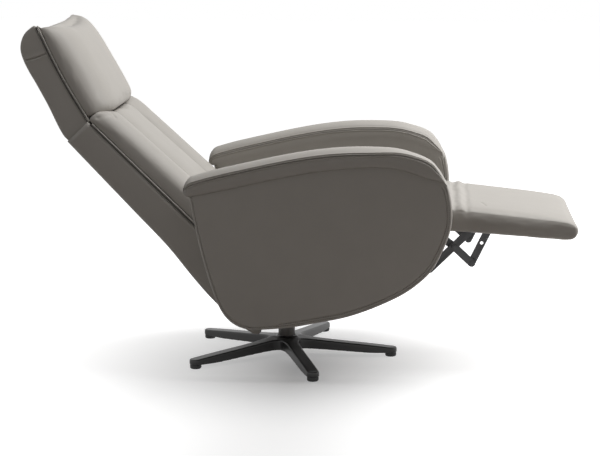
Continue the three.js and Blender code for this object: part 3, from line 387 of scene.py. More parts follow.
def scatter(tree, points, shape, finish, **how):
    """Sets a shape on every point and ends the tree in real geometry with its finish."""
    copies = add_node(tree, "GeometryNodeInstanceOnPoints", None, {"Points": points, "Instance": shape, **how})
    real = add_node(tree, "GeometryNodeRealizeInstances", None, {"Geometry": copies.outputs["Instances"]})
    dressed = add_node(tree, "GeometryNodeSetMaterial", None, {"Geometry": real.outputs["Geometry"],
                                                              "Material": finish})
    add_node(tree, "NodeGroupOutput", None, {"Geometry": dressed.outputs["Geometry"]})


def unit_ball(tree, segments, rings):
    sizes = {"Segments": segments, "Rings": rings, "Radius": 1.0}
    return add_node(tree, "GeometryNodeMeshUVSphere", None, sizes).outputs["Mesh"]


def grow(name, source, tree, settings):
    modifier = source.modifiers.new("grow", "NODES")
    modifier.node_group = tree
    for item in tree.interface.items_tree:
        if item.item_type == "SOCKET" and item.in_out == "INPUT" and item.name in settings:
            modifier[item.identifier] = settings[item.name]
    bpy.context.view_layer.update()
    solid = source.evaluated_get(bpy.context.evaluated_depsgraph_get())
    mesh = bpy.data.meshes.new_from_object(solid)
    mesh.name = name
    piece = link_object(name, mesh)
    bpy.data.objects.remove(source)
    smooth_faces(mesh)
    return piece


def line_object(rows):
    points, edges = [], []
    for row in rows:
        first = len(points)
        points += [tuple(v) for v in row]
        edges += [(i, i + 1) for i in range(first, len(points) - 1)]
    return mesh_object("line", points, edges)


# %% [markdown]
# A stitch is a slim bead of thread. The seam's line is cut at even steps, and each bead turns with it.

# %% Stitch tree
stitch_tree, given = new_tree("stitch_row", [
    ("Pitch", "NodeSocketFloat", 0.005), ("Stitch Length", "NodeSocketFloat", 0.0036),
    ("Thread Radius", "NodeSocketFloat", 0.0005), ("Thread", "NodeSocketMaterial", None)])
as_curve = add_node(stitch_tree, "GeometryNodeMeshToCurve", None, {"Mesh": given["Geometry"]})
steps = add_node(stitch_tree, "GeometryNodeResampleCurve", {"mode": "LENGTH"},
                 {"Curve": as_curve.outputs["Curve"], "Length": given["Pitch"]})
half_stitch = calculate(stitch_tree, "MULTIPLY", given["Stitch Length"], 0.5)
size = add_node(stitch_tree, "ShaderNodeCombineXYZ", None, {
    "X": given["Thread Radius"], "Y": given["Thread Radius"], "Z": half_stitch})
tangent = add_node(stitch_tree, "GeometryNodeInputTangent")
turn = add_node(stitch_tree, "FunctionNodeAlignEulerToVector", {"axis": "Z"}, {"Vector": tangent.outputs["Tangent"]})
scatter(stitch_tree, steps.outputs["Curve"], unit_ball(stitch_tree, 6, 4), given["Thread"],
        Rotation=turn.outputs["Rotation"], Scale=size.outputs["Vector"])


def stitch(name, rows, body):
    piece = grow(name, line_object(rows), stitch_tree, {"Thread": thread})
    return seat_on(piece, body)


# %% [markdown]
# A welt is a leather-covered cord sewn into a seam, and a zip is a flat tape beside it. Both follow a
# path with a round or flat section that is carried along without twisting.

# %% Sweep a section along a path
ANY_DIRECTION = (0.3, 1, 0.2)


def sweep(name, path, width, height, material, sides=8):
    path = np.array(path, float)
    tangents = np.gradient(path, axis=0)
    tangents /= np.linalg.norm(tangents, axis=1)[:, None]
    side = np.cross(tangents[0], ANY_DIRECTION)
    rings = []
    for point, tangent in zip(path, tangents):
        side = side - tangent * np.dot(side, tangent)
        side = side / np.linalg.norm(side)
        over = np.cross(tangent, side)
        angles = np.linspace(0, 2 * math.pi, sides, endpoint=False)
        rings.append([point + side * math.cos(a) * width / 2 + over * math.sin(a) * height / 2 for a in angles])
    return skin(name, rings, material)


# %% [markdown]
# Padded leather is foam under a hide that pulls it tight. A closed shape a little smaller than the real
# one is remeshed evenly, blown up by a few frames of cloth under pressure with no gravity, and each point
# is held to a few millimetres of travel, which leaves soft edges and the slight pull of a sewn cover.
# Seams and short folds are pressed into the finished surface afterwards.

# %% Inflate a cushion
CLOTH_FRAMES = 20


def apply_all(piece):
    mesh = bpy.data.meshes.new_from_object(piece.evaluated_get(bpy.context.evaluated_depsgraph_get()))
    old = piece.data
    piece.modifiers.clear()
    piece.data = mesh
    bpy.data.meshes.remove(old)


def even_out(piece, voxel_mm):
    even = piece.modifiers.new("even", "REMESH")
    even.mode, even.voxel_size = "VOXEL", voxel_mm * MM


def ease(piece, times):
    soft = piece.modifiers.new("soft", "SMOOTH")
    soft.factor, soft.iterations = 0.5, times
    apply_all(piece)
    smooth_faces(piece.data)


def inflate(piece, travel_mm, pressure=2, voxel_mm=6):
    bpy.context.view_layer.objects.active = piece
    even_out(piece, voxel_mm)
    apply_all(piece)
    start = np.array([v.co for v in piece.data.vertices])
    cloth = piece.modifiers.new("cover", "CLOTH")
    cloth.settings.use_pressure = True
    cloth.settings.uniform_pressure_force = pressure
    cloth.settings.effector_weights.gravity = 0
    cloth.settings.quality = 4
    cloth.point_cache.frame_start, cloth.point_cache.frame_end = 1, CLOTH_FRAMES
    for count in range(1, CLOTH_FRAMES + 1):
        bpy.context.scene.frame_set(count)
    apply_all(piece)
    bpy.context.scene.frame_set(1)
    travel = np.array([v.co for v in piece.data.vertices]) - start
    length = np.linalg.norm(travel, axis=1)
    travel *= (np.minimum(length, travel_mm * MM) / np.maximum(length, 1e-9))[:, None]
    piece.data.vertices.foreach_set("co", (start + travel).astype(np.float32).ravel())
    ease(piece, 3)
    print(piece.name, "points", len(start), "moved up to mm", round(float(length.max()) / MM, 1))


def press(piece, path, depth_mm, width_mm):
    """Presses a line into a finished surface, as a seam or a short fold does."""
    mesh = piece.data
    coords, normals = np.zeros(len(mesh.vertices) * 3), np.zeros(len(mesh.vertices) * 3)
    mesh.vertices.foreach_get("co", coords)
    mesh.vertices.foreach_get("normal", normals)
    coords, normals = coords.reshape(-1, 3), normals.reshape(-1, 3)
    line = np.array(path) * MM
    low, high = line.min(axis=0) - 0.02, line.max(axis=0) + 0.02
    near = np.flatnonzero(((coords > low) & (coords < high)).all(axis=1))
    gap = distance_to(coords[near], line) / MM
    coords[near] -= normals[near] * (depth_mm * MM * np.exp(-(gap / width_mm) ** 2))[:, None]
    mesh.vertices.foreach_set("co", coords.astype(np.float32).ravel())
    mesh.update()


def distance_to(points, line):
    return np.array([np.sqrt(((line - point) ** 2).sum(axis=1).min()) for point in points])


def subdivide(piece):
    finer = piece.modifiers.new("finer", "SUBSURF")
    finer.levels = finer.render_levels = 1
    return piece


# %% [markdown]
# The base is one casting: five legs that widen into a hub. A leg is drawn once, with a flat top, narrow
# round edges and a hollow underside, and a tree of geometry nodes spreads it round the axis. Legs, feet
# and hub are then merged by an even remesh and eased, which leaves the fillets that a mould has.

# %% Spread tree
spread_tree, given = new_tree("spread_round_axis", [
    ("Count", "NodeSocketInt", 5), ("Finish", "NodeSocketMaterial", None)])
marks = add_node(spread_tree, "GeometryNodeMeshLine", None, {"Count": given["Count"], "Offset": (0, 0, 0)})
number = add_node(spread_tree, "GeometryNodeInputIndex")
step = calculate(spread_tree, "DIVIDE", 2 * math.pi, given["Count"])
angle = calculate(spread_tree, "MULTIPLY", number.outputs["Index"], step)
about_axis = add_node(spread_tree, "ShaderNodeCombineXYZ", None, {"Z": angle})
scatter(spread_tree, marks.outputs["Mesh"], given["Geometry"], given["Finish"], Rotation=about_axis.outputs["Vector"])

# %% [markdown]
# The legs taper in height from the hub to the feet. Tables give the share of the extra height that is left
# at each share of the leg's length, for its top and for the edge under it.

# %% Star base
glide_radius, hub_radius = 315, 42
leg_foot, leg_top, hub_foot, hub_top = 12, 28.5, 24, 58
leg_width, flare, flare_fade, widest = 36.6, 26, 17, 66
leg_top_shares = [(0, 1), (0.16, 0.88), (0.45, 0.56), (0.8, 0.22), (1, 0)]
leg_under_shares = [(0, 1), (0.16, 0.92), (0.45, 0.48), (0.78, -0.06), (0.9, -0.08), (1, 0)]


def turned(name, profile, material, sides=96):
    """A turned piece from its profile of radius and height."""
    angles = np.linspace(0, 2 * math.pi, sides, endpoint=False)
    rings = [[(r * math.cos(a), r * math.sin(a), z) for a in angles] for r, z in profile]
    return skin(name, rings, material)


def leg_section(r, wall=0):
    """The leg's section at a radius, or the hollow's, which is a wall thinner all round and open below."""
    share = r / glide_radius
    top = leg_top + (hub_top - leg_top) * read_off(leg_top_shares, share) - wall
    under = leg_foot + (hub_foot - leg_foot) * read_off(leg_under_shares, share) - (leg_foot if wall else 0)
    half = min(widest, leg_width + flare * math.exp((hub_radius - r) / flare_fade)) / 2 - wall
    round_edge = 2 if wall else 3.6
    corner = [(half - round_edge + round_edge * math.cos(a), top - round_edge + round_edge * math.sin(a))
              for a in np.linspace(0, math.pi / 2, 7)]
    half_section = [(half, under)] + corner
    return [(r, y, z) for y, z in half_section + [(-y, z) for y, z in half_section[::-1]]]


leg = skin("leg", [leg_section(r) for r in np.linspace(0, glide_radius, 60)], powder_coat)
hollow_start, hollow_end, casting_wall = 72, 288, 4.5
hollow = skin("hollow", [leg_section(r, casting_wall) for r in np.linspace(hollow_start, hollow_end, 30)], powder_coat)
dig = leg.modifiers.new("dig", "BOOLEAN")
dig.object, dig.operation = hollow, "DIFFERENCE"
apply_all(leg)
bpy.data.objects.remove(hollow)
casting = grow("star_base_casting", leg, spread_tree, {"Finish": powder_coat})
foot = turned("foot", [(15, 12), (17.6, 12.3), (18.3, 13.4), (18.3, 24.9), (17.3, 27.3), (14.7, 28.4), (10, 28.5)],
              powder_coat, 40)
for vertex in foot.data.vertices:
    vertex.co.x += glide_radius * MM
feet = grow("feet", foot, spread_tree, {"Finish": powder_coat})
hub = turned("hub", [(20, 24), (42, 24), (44, 26), (43.5, 34), (40, 44), (36, 50), (32.5, 54.5), (30.5, 58),
                     (29.6, 60.2), (28.6, 61), (27.6, 61), (26.8, 60.2), (26.6, 57), (20, 57)], powder_coat)
whole = bmesh.new()
for piece in (casting, feet, hub):
    whole.from_mesh(piece.data)
whole.to_mesh(casting.data)
whole.free()
for piece in (feet, hub):
    bpy.data.objects.remove(piece)
COARSE_MM, FINE_MM = 2.4, 1.7
even_out(casting, FINE_MM)
ease(casting, 5)
casting.data.materials.clear()
casting.data.materials.append(powder_coat)
seat_on(casting, "base", ["star_base"])

# The column's coat is partly painted reflection, lighter than the tube's own grey.
column = turned("column_cover", [
    (17, 60.5), (22.8, 60.5), (23, 61), (23, 64.4), (23.6, 65), (24.6, 65.2), (25.2, 66), (25.2, 145), (24.6, 145.8),
    (17, 146)], tube_coat_with_painted_reflection)
seat_on(column, "base", ["column_tube"])
print("casting points", len(casting.data.vertices))

# %% [markdown]
# Each finished hard piece takes the place of its plain node and rides on that node's body.

# %% Seat the hard pieces
for piece, part in hard_pieces:
    seat_on(piece, body_of_node[part["node"]], [part["node"]])
print("hard pieces seated", len(hard_pieces))

# %% [markdown]
# The links turn on shouldered rivets. Their clenched heads are low domes, one on each outer end.

# %% Rivet heads
rivet_tree, given = new_tree("rivet_heads", [
    ("Head Radius", "NodeSocketFloat", 0.0072), ("Head Height", "NodeSocketFloat", 0.0008),
    ("Finish", "NodeSocketMaterial", None)])
head_size = add_node(rivet_tree, "ShaderNodeCombineXYZ", None,
                     {"X": given["Head Radius"], "Y": given["Head Height"], "Z": given["Head Radius"]})
scatter(rivet_tree, given["Geometry"], unit_ball(rivet_tree, 16, 8), given["Finish"], Scale=head_size.outputs["Vector"])
crossing, apex, bracket_pivot, foot_pivot = (495.5, 376), (548.3, 327.1), (551.5, 432), (428.3, 308.8)


def rivets(name, body, places):
    marks = mesh_object("places", [(x, sign * y, z) for (x, z), y in places for sign in (1, -1)])
    seat_on(grow(name, marks, rivet_tree, {"Finish": dip_coat}), body)


rivets("cross_rivets", "cross_links", [(crossing, 196.7), (apex, 189)])
rivets("lift_rivets", "lift_links", [(bracket_pivot, 195.5)])
rivets("rear_rivets", "rear_links", [(foot_pivot, 196.7)])
print("rivet heads set on", crossing, apex, bracket_pivot, foot_pivot)

# %% [markdown]
# An upholstered slab is a closed outline given thickness: rounded edges, and faces that swell a little
# over the foam. A seam is a narrow groove along a line, so the face gets rows of points beside each seam
# and a loose grid elsewhere. The arm panels and the headrest shell are made so.

# %% Slab
SEAM_STEPS = (-6.5, -4.5, -3, -2, -1, 0, 1, 2, 3, 4.5, 6.5)
GROOVE_WIDTH, LIP_AT, LIP_WIDTH, LIP_SHARE, SWELL_REACH = 1.9, 4.6, 2.2, 0.27, 45


def edge_normals(outline):
    ahead, behind = np.roll(outline, -1, axis=0), np.roll(outline, 1, axis=0)
    tangent = ahead - behind
    normal = np.column_stack([tangent[:, 1], -tangent[:, 0]])
    normal /= np.maximum(np.linalg.norm(normal, axis=1), 1e-9)[:, None]
    return normal if np.sum(outline[:, 0] * ahead[:, 1] - ahead[:, 0] * outline[:, 1]) > 0 else -normal


def is_inside(points, outline):
    inside = np.zeros(len(points), bool)
    for a, b in zip(outline, np.roll(outline, -1, axis=0)):
        crosses = (a[1] > points[:, 1]) != (b[1] > points[:, 1])
        rise = b[1] - a[1] if b[1] != a[1] else 1e-9
        inside ^= crosses & (points[:, 0] < a[0] + (b[0] - a[0]) * (points[:, 1] - a[1]) / rise)
    return inside


def face_points(border, seams, pitch):
    low, high = border.min(axis=0), border.max(axis=0)
    columns, levels = np.arange(low[0], high[0], pitch), np.arange(low[1], high[1], pitch)
    grid = np.stack(np.meshgrid(columns, levels), -1).reshape(-1, 2)
    grid = grid[is_inside(grid, border) & (distance_to(grid, border) > pitch * 0.6)]
    beside = []
    for seam in seams:
        grid = grid[distance_to(grid, seam) > 9]
        side = np.gradient(seam, axis=0)
        side = np.column_stack([side[:, 1], -side[:, 0]]) / np.linalg.norm(side, axis=1)[:, None]
        beside += [seam + side * offset for offset in SEAM_STEPS]
    beside = np.vstack(beside)
    beside = beside[is_inside(beside, border) & (distance_to(beside, border) > 0.7)]
    return np.vstack([grid, beside])


def slab(name, outline, y_low, y_high, edge, material, swell, seams, groove=3.4, pitch=14, spans=2, bend=np.array):
    """An upholstered slab between two values of y, and the lines of its seams on both faces."""
    normal = edge_normals(outline)
    edge = np.broadcast_to(np.array(edge, float), (len(outline),))

    def depth(flat):
        rise = swell * (1 - np.exp(-distance_to(flat, outline) / SWELL_REACH))
        for seam in seams:
            gap = distance_to(flat, seam)
            rise = rise - groove * np.exp(-(gap / GROOVE_WIDTH) ** 2)
            rise = rise + LIP_SHARE * groove * np.exp(-((gap - LIP_AT) / LIP_WIDTH) ** 2)
        return rise

    points, faces, rings, lines = [], [], [], []
    border = outline - normal * edge[:, None]
    coords = [Vector(v) for v in np.vstack([border, face_points(border, seams, pitch)])]
    ring_edges = [(i, (i + 1) % len(border)) for i in range(len(border))]
    filled, _, triangles, *_ = delaunay_2d_cdt(coords, ring_edges, [], 1, 1e-5)
    filled = np.array([tuple(v) for v in filled])
    sides = ((-1, y_low), (1, y_high))
    for side, y_face in sides:
        first = len(points)
        points += [(x, y, z) for (x, z), y in zip(filled, y_face + side * depth(filled))]
        faces += [tuple(first + k for k in triangle) for triangle in triangles]
    for side, y_face in sides:
        run = []
        for angle in np.linspace(0, math.pi / 2, 7):
            flat = outline - normal * (edge * (1 - math.sin(angle)))[:, None]
            run.append(np.column_stack([flat[:, 0], y_face - side * edge * (1 - math.cos(angle))
                                        + side * depth(flat) * math.cos(angle), flat[:, 1]]))
        rings += run if side < 0 else run[::-1]
        if side < 0:
            low, high = run[-1][:, 1], y_high - edge
            rings += [np.column_stack([outline[:, 0], low + (high - low) * share, outline[:, 1]])
                      for share in np.linspace(0, 1, spans + 1)[1:-1]]
    for ring in rings:
        points += [tuple(v) for v in ring]
    faces += ring_faces(len(rings), len(outline), 2 * len(filled))
    for seam in seams:
        for side, y_face in sides:
            lines.append(bend(np.column_stack([seam[:, 0], y_face + side * (depth(seam) + 0.5), seam[:, 1]])))
    return make_piece(name, bend(points), faces, material), lines


# %% [markdown]
# The arm is a D-shaped panel with a padded band along its top. A seam runs close to the panel's edge,
# where its face meets the narrow strip that goes round it, and it is doubled along the front and the foot.

# %% Arm panels
arm_corner, arm_box = np.array([-265, 155]), np.array([753, 526])
arm_inner, arm_outer = 261, 350
panel_edge_shares = [
    (0.9703, 0.819), (0.978, 0.803), (0.9845, 0.785), (0.993, 0.735), (0.998, 0.69), (1, 0.61), (0.989, 0.53),
    (0.965, 0.441), (0.932, 0.35), (0.886, 0.278),
    (0.817, 0.205), (0.714, 0.133), (0.611, 0.08), (0.506, 0.0475), (0.401, 0.019), (0.283, 0.003),
    (0.24, 0.004), (0.199, 0.022), (0.163, 0.059), (0.133, 0.12), (0.105, 0.2205), (0.068, 0.403),
    (0.041, 0.574), (0.021, 0.728)]
arm_rear = -266
crease_line = [(arm_rear, 533), (-249, 537), (-146, 558), (-20, 587), (120, 613), (245, 625), (290, 626),
               (328, 622), (365, 614), (401, 602), (436, 592), (458, 587), (466, 581), (470, 575)]
band_top_line = [(arm_rear, 578), (-243, 586), (-196, 600), (-144, 613), (-66, 631), (12, 648), (90, 662),
                 (167, 671), (243, 674), (321, 671), (372, 659.5), (420, 639.5), (448.5, 612.5), (460, 597),
                 (466.5, 586.5), (473, 575)]
crease, band_top = smooth_path(crease_line, 130), smooth_path(band_top_line, 130)
panel_rim = smooth_path(arm_corner + np.array(panel_edge_shares) * arm_box, 190)
panel_line = np.vstack([panel_rim[1:], (crease[crease[:, 0] > -249] - (0, 1))[:-1] + (0, 3)])
panel_edge = np.interp(np.arange(len(panel_line)), [0, 6, 60, 110, 188, 190], [6, 11, 11, 7, 7, 5])
rim_seams = [(panel_line - edge_normals(panel_line) * inset)[:end] for inset, end in ((8, 188), (14, 110))]

for side, sign in (("left", 1), ("right", -1)):
    y_faces = sorted((sign * (arm_inner + 4), sign * (arm_outer - 4)))
    panel, seams = slab(f"arm_panel_{side}", panel_line, *y_faces, panel_edge, leather, swell=3, seams=rim_seams,
                        groove=2.1, spans=3)
    seat_on(panel, "chassis", [f"side_panel_{side}"])
    stitch(f"panel_stitches_{side}", seams, "chassis")
print("arm panels made, points round the edge", len(panel_line))

# %% [markdown]
# The band is one section carried along the arm: a soft crown, round shoulders, and on each shoulder a
# double seam, two grooves some six millimetres apart with a row of stitches in each; the inner pair sits
# lower. Its rear end is rounded in both directions. Towards the front its shoulders tighten, and there it
# thins out into the panel's edge.

# %% Arm bands
OUTER_SIDE = dict(shoulder=15.7, seam_shares=(0.3, 0.68), lip=13, apron=0, tighten=0.36, flatten=5)
INNER_SIDE = dict(shoulder=26, seam_shares=(0.175, 0.325), lip=0, apron=58, tighten=0.35, flatten=0.5)
CROWN_RADIUS, FULL_LIP_RISE, FULL_CROWN_RISE, CROWN_LIFT = 65, 62, 36, 5
DENT_DEPTH, DENT_WIDTH, PUFF_HEIGHT, PUFF_AT, PUFF_WIDTH = 2.5, 1.2, 1.5, 3.1, 1.5
TURN_STEPS, CROWN_STEPS, FIRST_TURN = 40, 20, 17


def band_section(rise, shoulder, seam_shares, lip, apron, tighten, flatten, inset=0, top_drop=0, foot_lift=0,
                 ending=1, narrow=0):
    """Half of the band's section, from under its middle up round one side to the top's middle.
    Its underside, its straight side and the turn of its shoulder have the same number of points everywhere."""
    half = (arm_outer - arm_inner) / 2 - inset
    low, tight = min(1, rise / FULL_LIP_RISE), min(1, rise / FULL_CROWN_RISE)
    lip, apron, shoulder = lip * low, apron * ending, shoulder * tight * (1 - tighten * narrow)
    radius = CROWN_RADIUS * (1 + flatten * narrow ** 2) / tight ** 0.5
    top, foot = rise - top_drop + CROWN_LIFT * tight, foot_lift
    points = [(0, foot - 2), (half * 0.5, foot - 2)]
    if apron:
        points += [(half - 7, foot - 3)] + [(half - 4 - 2 * t, foot - 3 - apron * t) for t in np.linspace(0.2, 1, 4)]
        points += [(half - 2.6 * t ** 2, foot - apron * t) for t in np.linspace(1, 0, 5)]
    else:
        points += [(half - 7 + 2 * t, foot - 1.6) for t in np.linspace(0, 0.6, 4)]
        points += [(half - 4.6 + 4.6 * math.sin(a), foot + lip - (lip + 0.5) * math.cos(a))
                   for a in np.linspace(0, math.pi / 2, 6)]
    join = math.degrees(math.acos(min(0.98, (half - shoulder) / (radius - shoulder))))
    join_height = top - radius * (1 - math.sin(math.radians(join)))
    centre = join_height - shoulder * math.sin(math.radians(join))
    start, end = foot + lip, max(foot + lip, centre)
    for t in np.linspace(0.12, 1, 6):
        points.append((half + 1.2 * low * math.sin(math.pi * t), start + (end - start) * t))
    turns = np.concatenate([np.linspace(0, join, TURN_STEPS + 1)[1:], np.linspace(join, 90, CROWN_STEPS + 1)[1:]])
    for turn in turns:
        across, over = math.cos(math.radians(turn)), math.sin(math.radians(turn))
        bow = shoulder if turn <= join else radius
        away = [abs(math.radians(turn - share * join) * bow) for share in seam_shares]
        dent = sum(DENT_DEPTH * math.exp(-(gap / DENT_WIDTH) ** 2)
                   - PUFF_HEIGHT * math.exp(-((gap - PUFF_AT) / PUFF_WIDTH) ** 2) for gap in away)
        dent *= tight * (1 - 0.2 * narrow)
        if turn <= join:
            points.append((half - shoulder + (shoulder - dent) * across, centre + (shoulder - dent) * over))
        else:
            points.append(((radius - dent) * across, top - radius + (radius - dent) * over))
    return points


def seam_rows(seam_shares, **_):
    return [FIRST_TURN + round(share * TURN_STEPS) for share in seam_shares]


def band_ring(lower, upper, sign, push=(0, 0), **ends):
    rise = math.dist(lower, upper)
    outer, inner = band_section(rise, **OUTER_SIDE, **ends), band_section(rise, **INNER_SIDE, **ends)
    section = outer + [(-y, t) for y, t in inner[-2:0:-1]]
    forward, upward = (upper[0] - lower[0]) / rise, (upper[1] - lower[1]) / rise
    return [(lower[0] + (forward * t if t > -4 else 0) + push[0], sign * ((arm_inner + arm_outer) / 2 + y),
             lower[1] + (upward if t > -4 else 1) * t + push[1]) for y, t in section]


def rounded(reach, radius):
    return radius - math.sqrt(max(0, radius ** 2 - max(0, radius - reach) ** 2))


def rear_round(reach):
    return dict(inset=rounded(reach, 15), top_drop=rounded(reach, 24), foot_lift=rounded(reach, 20),
                ending=min(1, max(0, reach - 24) / 30))


for side, sign in (("left", 1), ("right", -1)):
    lift = np.array([0, 0.5])
    rings = []
    for lower, upper in zip(crease, band_top):
        ends = rear_round(lower[0] - arm_rear)
        ends["inset"] += 4.5 * (1 - min(1, math.dist(lower, upper) / 34)) ** 2
        ends["narrow"] = min(1, max(0, (upper[0] - 200) / 230)) ** 2
        rings.append(band_ring(lower + lift, upper, sign, **ends))
    tail = [band_ring(crease[0] + lift, band_top[0], sign, push=(reach, reach * 0.22), **rear_round(reach))
            for reach in np.linspace(0, 1, 7) ** 2 * 5]
    band = skin(f"arm_band_{side}", tail + rings[2:], leather)
    seat_on(band, "chassis", [f"arm_pad_{side}"])
    count = len(rings[0])
    marks = seam_rows(**OUTER_SIDE) + [count - row for row in seam_rows(**INNER_SIDE)]
    rows = [[ring[k] for ring in rings[3:-6]] for k in marks]
    stitch(f"arm_stitches_{side}", rows, "chassis")
print("arms made, stitch rows", marks)

# %% [markdown]
# The back shell is a deep tray: foam and leather over a board, with side walls that follow the cushions
# up to the seam. Its section is a U whose corners are rounded, skinned from the foot to the top.

# %% Back shell
rear_line = [(-20, 18), (-14, 8), (0, 1), (45, -8.5), (121, -12.7), (182, -12.4), (250, -8), (349, 0), (500, 0),
             (back_length, 0)]
front_line = [(-20, 24), (-12, 32), (30, 60), (80, 90), (121, 111), (200, 108), (back_length, seam_at(back_length))]


def shell_section(s, inset):
    """The tray's outer section at a height, or its inner one, which is inset by the wall."""
    rear, front = read_off(rear_line, s) + inset, read_off(front_line, s) - (1.5 if inset else 0)
    half = back_half - inset
    corner = min(16 - inset, max(front - rear, 1) * 0.45)
    side = [(half, n) for n in np.linspace(front, rear + corner, 7)]
    side = [(y + (1.5 if not inset else 0) * math.sin(math.pi * i / 6), n) for i, (y, n) in enumerate(side)]
    bend = [(half - corner + corner * math.cos(a), rear + corner - corner * math.sin(a))
            for a in np.linspace(0, math.pi / 2, 7)[1:]]
    return both_sides(side + bend + [(y, rear) for y in np.linspace(half - corner, 0, 9)[1:]])


points, rows = [], np.concatenate([np.linspace(-20, 40, 10), np.linspace(50, back_length, 46)])
for s in rows:
    outer, inner = shell_section(s, 0), shell_section(s, back_wall)
    points += [back_at(s, y, n) for y, n in outer + inner[::-1]]
count = len(points) // len(rows)
faces = ring_faces(len(rows), count)
for start in (0, (len(rows) - 1) * count):
    faces += [(start + k, start + k + 1, start + count - 2 - k, start + count - 1 - k) for k in range(count // 2 - 1)]
shell = make_piece("back_shell_cover", points, faces, leather)
seat_on(shell, "back", ["back_shell"])
print("back shell points", len(points))

# %% [markdown]
# The back's front has three cushions: two long bolsters that stand proud, and a lower centre between
# them. Their meeting lines read as fine creases because the sides run nearly straight down there.

# %% Back cushions
foot_s, top_s = 205, 748
bolster_shares = [(0.985, 0), (0.998, 0.08), (0.994, 0.24), (0.968, 0.42), (0.925, 0.58), (0.865, 0.72), (0.79, 0.84),
                  (0.7, 0.925), (0.6, 0.98), (0.5, 1), (0.38, 0.99), (0.25, 0.96), (0.14, 0.925), (0.05, 0.88),
                  (0.014, 0.8), (0.004, 0.62), (0.004, 0)]
centre_shares = [(1, 0), (1, 0.55), (0.995, 0.74), (0.97, 0.83), (0.9, 0.89), (0.7, 0.955), (0.4, 0.99), (0, 1)]
height_shares = [(0, 0.62), (0.015, 0.78), (0.05, 0.92), (0.12, 0.99), (0.3, 1), (0.6, 0.99), (0.85, 0.98),
                 (0.94, 0.965), (0.98, 0.9), (1, 0.74)]
width_shares = [(0, 0.9), (0.02, 0.96), (0.08, 1), (0.5, 1), (0.93, 1), (0.98, 0.99), (1, 0.965)]
meeting, foot_crown, bolster_thins, centre_thins = 113, 80, 16, 21


def cushion_stations(count=56):
    return (1 - np.cos(np.linspace(0, math.pi, count))) / 2


corner_rise, corner_at, corner_width, middle_rise = 22, 236, 30, 7


def lean_back(s, y, n, u):
    """The upper end leans under the headrest, and the bolsters' outer corners stand up beside it."""
    upper = max(0, 2 * u - 1)
    corner = corner_rise * math.exp(-((abs(y) - corner_at) / corner_width) ** 2) * max(0, (u - 0.86) / 0.14) ** 1.5
    middle = middle_rise * max(0, 1 - abs(y) / 150) * upper ** 6
    return s - math.tan(math.radians(5.5)) * (n - 70) * upper + corner - middle


def bolster_ring(u, sign):
    s = foot_s + (top_s - foot_s) * u
    crown = (foot_crown - bolster_thins * u) * read_off(height_shares, u)
    width = read_off(width_shares, u)
    ring = []
    for share, height in smooth_path(bolster_shares, 40):
        y = meeting + 1.5 + (back_half - 2.5 - meeting - 1.5) * share
        y = 180 + (y - 180) * width
        if share < 0.5:
            height *= 1 - 0.14 * u * (1 - share / 0.5) ** 1.3
        n = seam_at(s) + 0.5 + crown * height
        ring.append(back_at(lean_back(s, y, n, u), sign * y, n))
    return ring


def centre_ring(u):
    s = foot_s + (top_s - foot_s) * u
    crown = (foot_crown - centre_thins * u) * read_off(height_shares, u)
    half = [(meeting * share * read_off(width_shares, u), seam_at(s) + 0.5 + crown * height)
            for share, height in smooth_path(centre_shares, 24)]
    return [back_at(lean_back(s, y, n, u), y, n) for y, n in both_sides(half)]


end_folds = [((748, 240, 26), (727, 218, 52)), ((738, 205, 62), (716, 214, 60))]
centre = skin("back_centre_pad", [centre_ring(u) for u in cushion_stations()], leather)
inflate(centre, 3, voxel_mm=7)
seat_on(subdivide(centre), "back", ["back_cushion"])
for side, sign in (("left", 1), ("right", -1)):
    bolster = skin(f"back_bolster_{side}", [bolster_ring(u, sign) for u in cushion_stations()], leather)
    inflate(bolster, 4)
    apply_all(subdivide(bolster))
    for (s1, y1, n1), (s2, y2, n2) in end_folds:
        ends = [back_at(s1, sign * y1, seam_at(s1) + n1), back_at(s2, sign * y2, seam_at(s2) + n2)]
        press(bolster, np.linspace(*ends, 14), 3.2, 5)
    seat_on(bolster, "back", [f"bolster_{side}"])
print("back cushions made, folds at each bolster's end", len(end_folds))

# %% [markdown]
# The headrest has its own shell, which is thin at the top and ends in a round tail that turns inside the
# back's tray. Its top edge dips between two raised corners, shell and pad alike.

# %% Headrest shell
def head_seam_at(u, y, lift=0):
    """The line where shell and pad meet, a little hollow, at a share of the headrest's length."""
    return head_at(head_length * u, y, -7 * math.sin(math.pi * u) + lift)


head_hinge = back_at(752, 0, 70)
tail_radius, nose_radius = 56, 14
head_front = [head_seam_at(u, 0) for u in np.linspace(0, 1, 12)]
head_rear_shares = [(1.02, -0.06), (1.016, -0.24), (0.998, -0.5), (0.957, -0.73), (0.89, -0.92), (0.8, -1.01),
                    (0.68, -1.035), (0.55, -1.02), (0.33, -1.02), (0.13, -1.06), (0.02, -1.055), (-0.04, -0.99)]
head_rear = [head_at(head_length * u, 0, head_depth * v) for u, v in head_rear_shares]
tail_start = math.degrees(math.atan2(head_rear[-1][2] - head_hinge[2], head_rear[-1][0] - head_hinge[0])) + 360


def about_hinge(radius, angles):
    return [(head_hinge[0] + radius * math.cos(a), 0, head_hinge[2] + radius * math.sin(a))
            for a in np.radians(angles)]


def flat_path(points, count):
    return smooth_path([(x, z) for x, y, z in points], count)


tail = about_hinge(tail_radius, np.linspace(tail_start + 9, 240, 6))
nose = about_hinge(nose_radius, (240, 300, 399.9))
head_outline = np.vstack([
    flat_path(head_front, 60)[1:], flat_path(head_rear, 70), flat_path(tail, 20)[1:],
    flat_path([tail[-1], nose[0]], 8)[1:], flat_path(nose, 8)[1:], flat_path([nose[-1], head_front[0]], 8)[1:]])
head_up = np.array([math.cos(math.radians(head_angle)), math.sin(math.radians(head_angle))])


dip_depth, dip_start = 38, 0.45


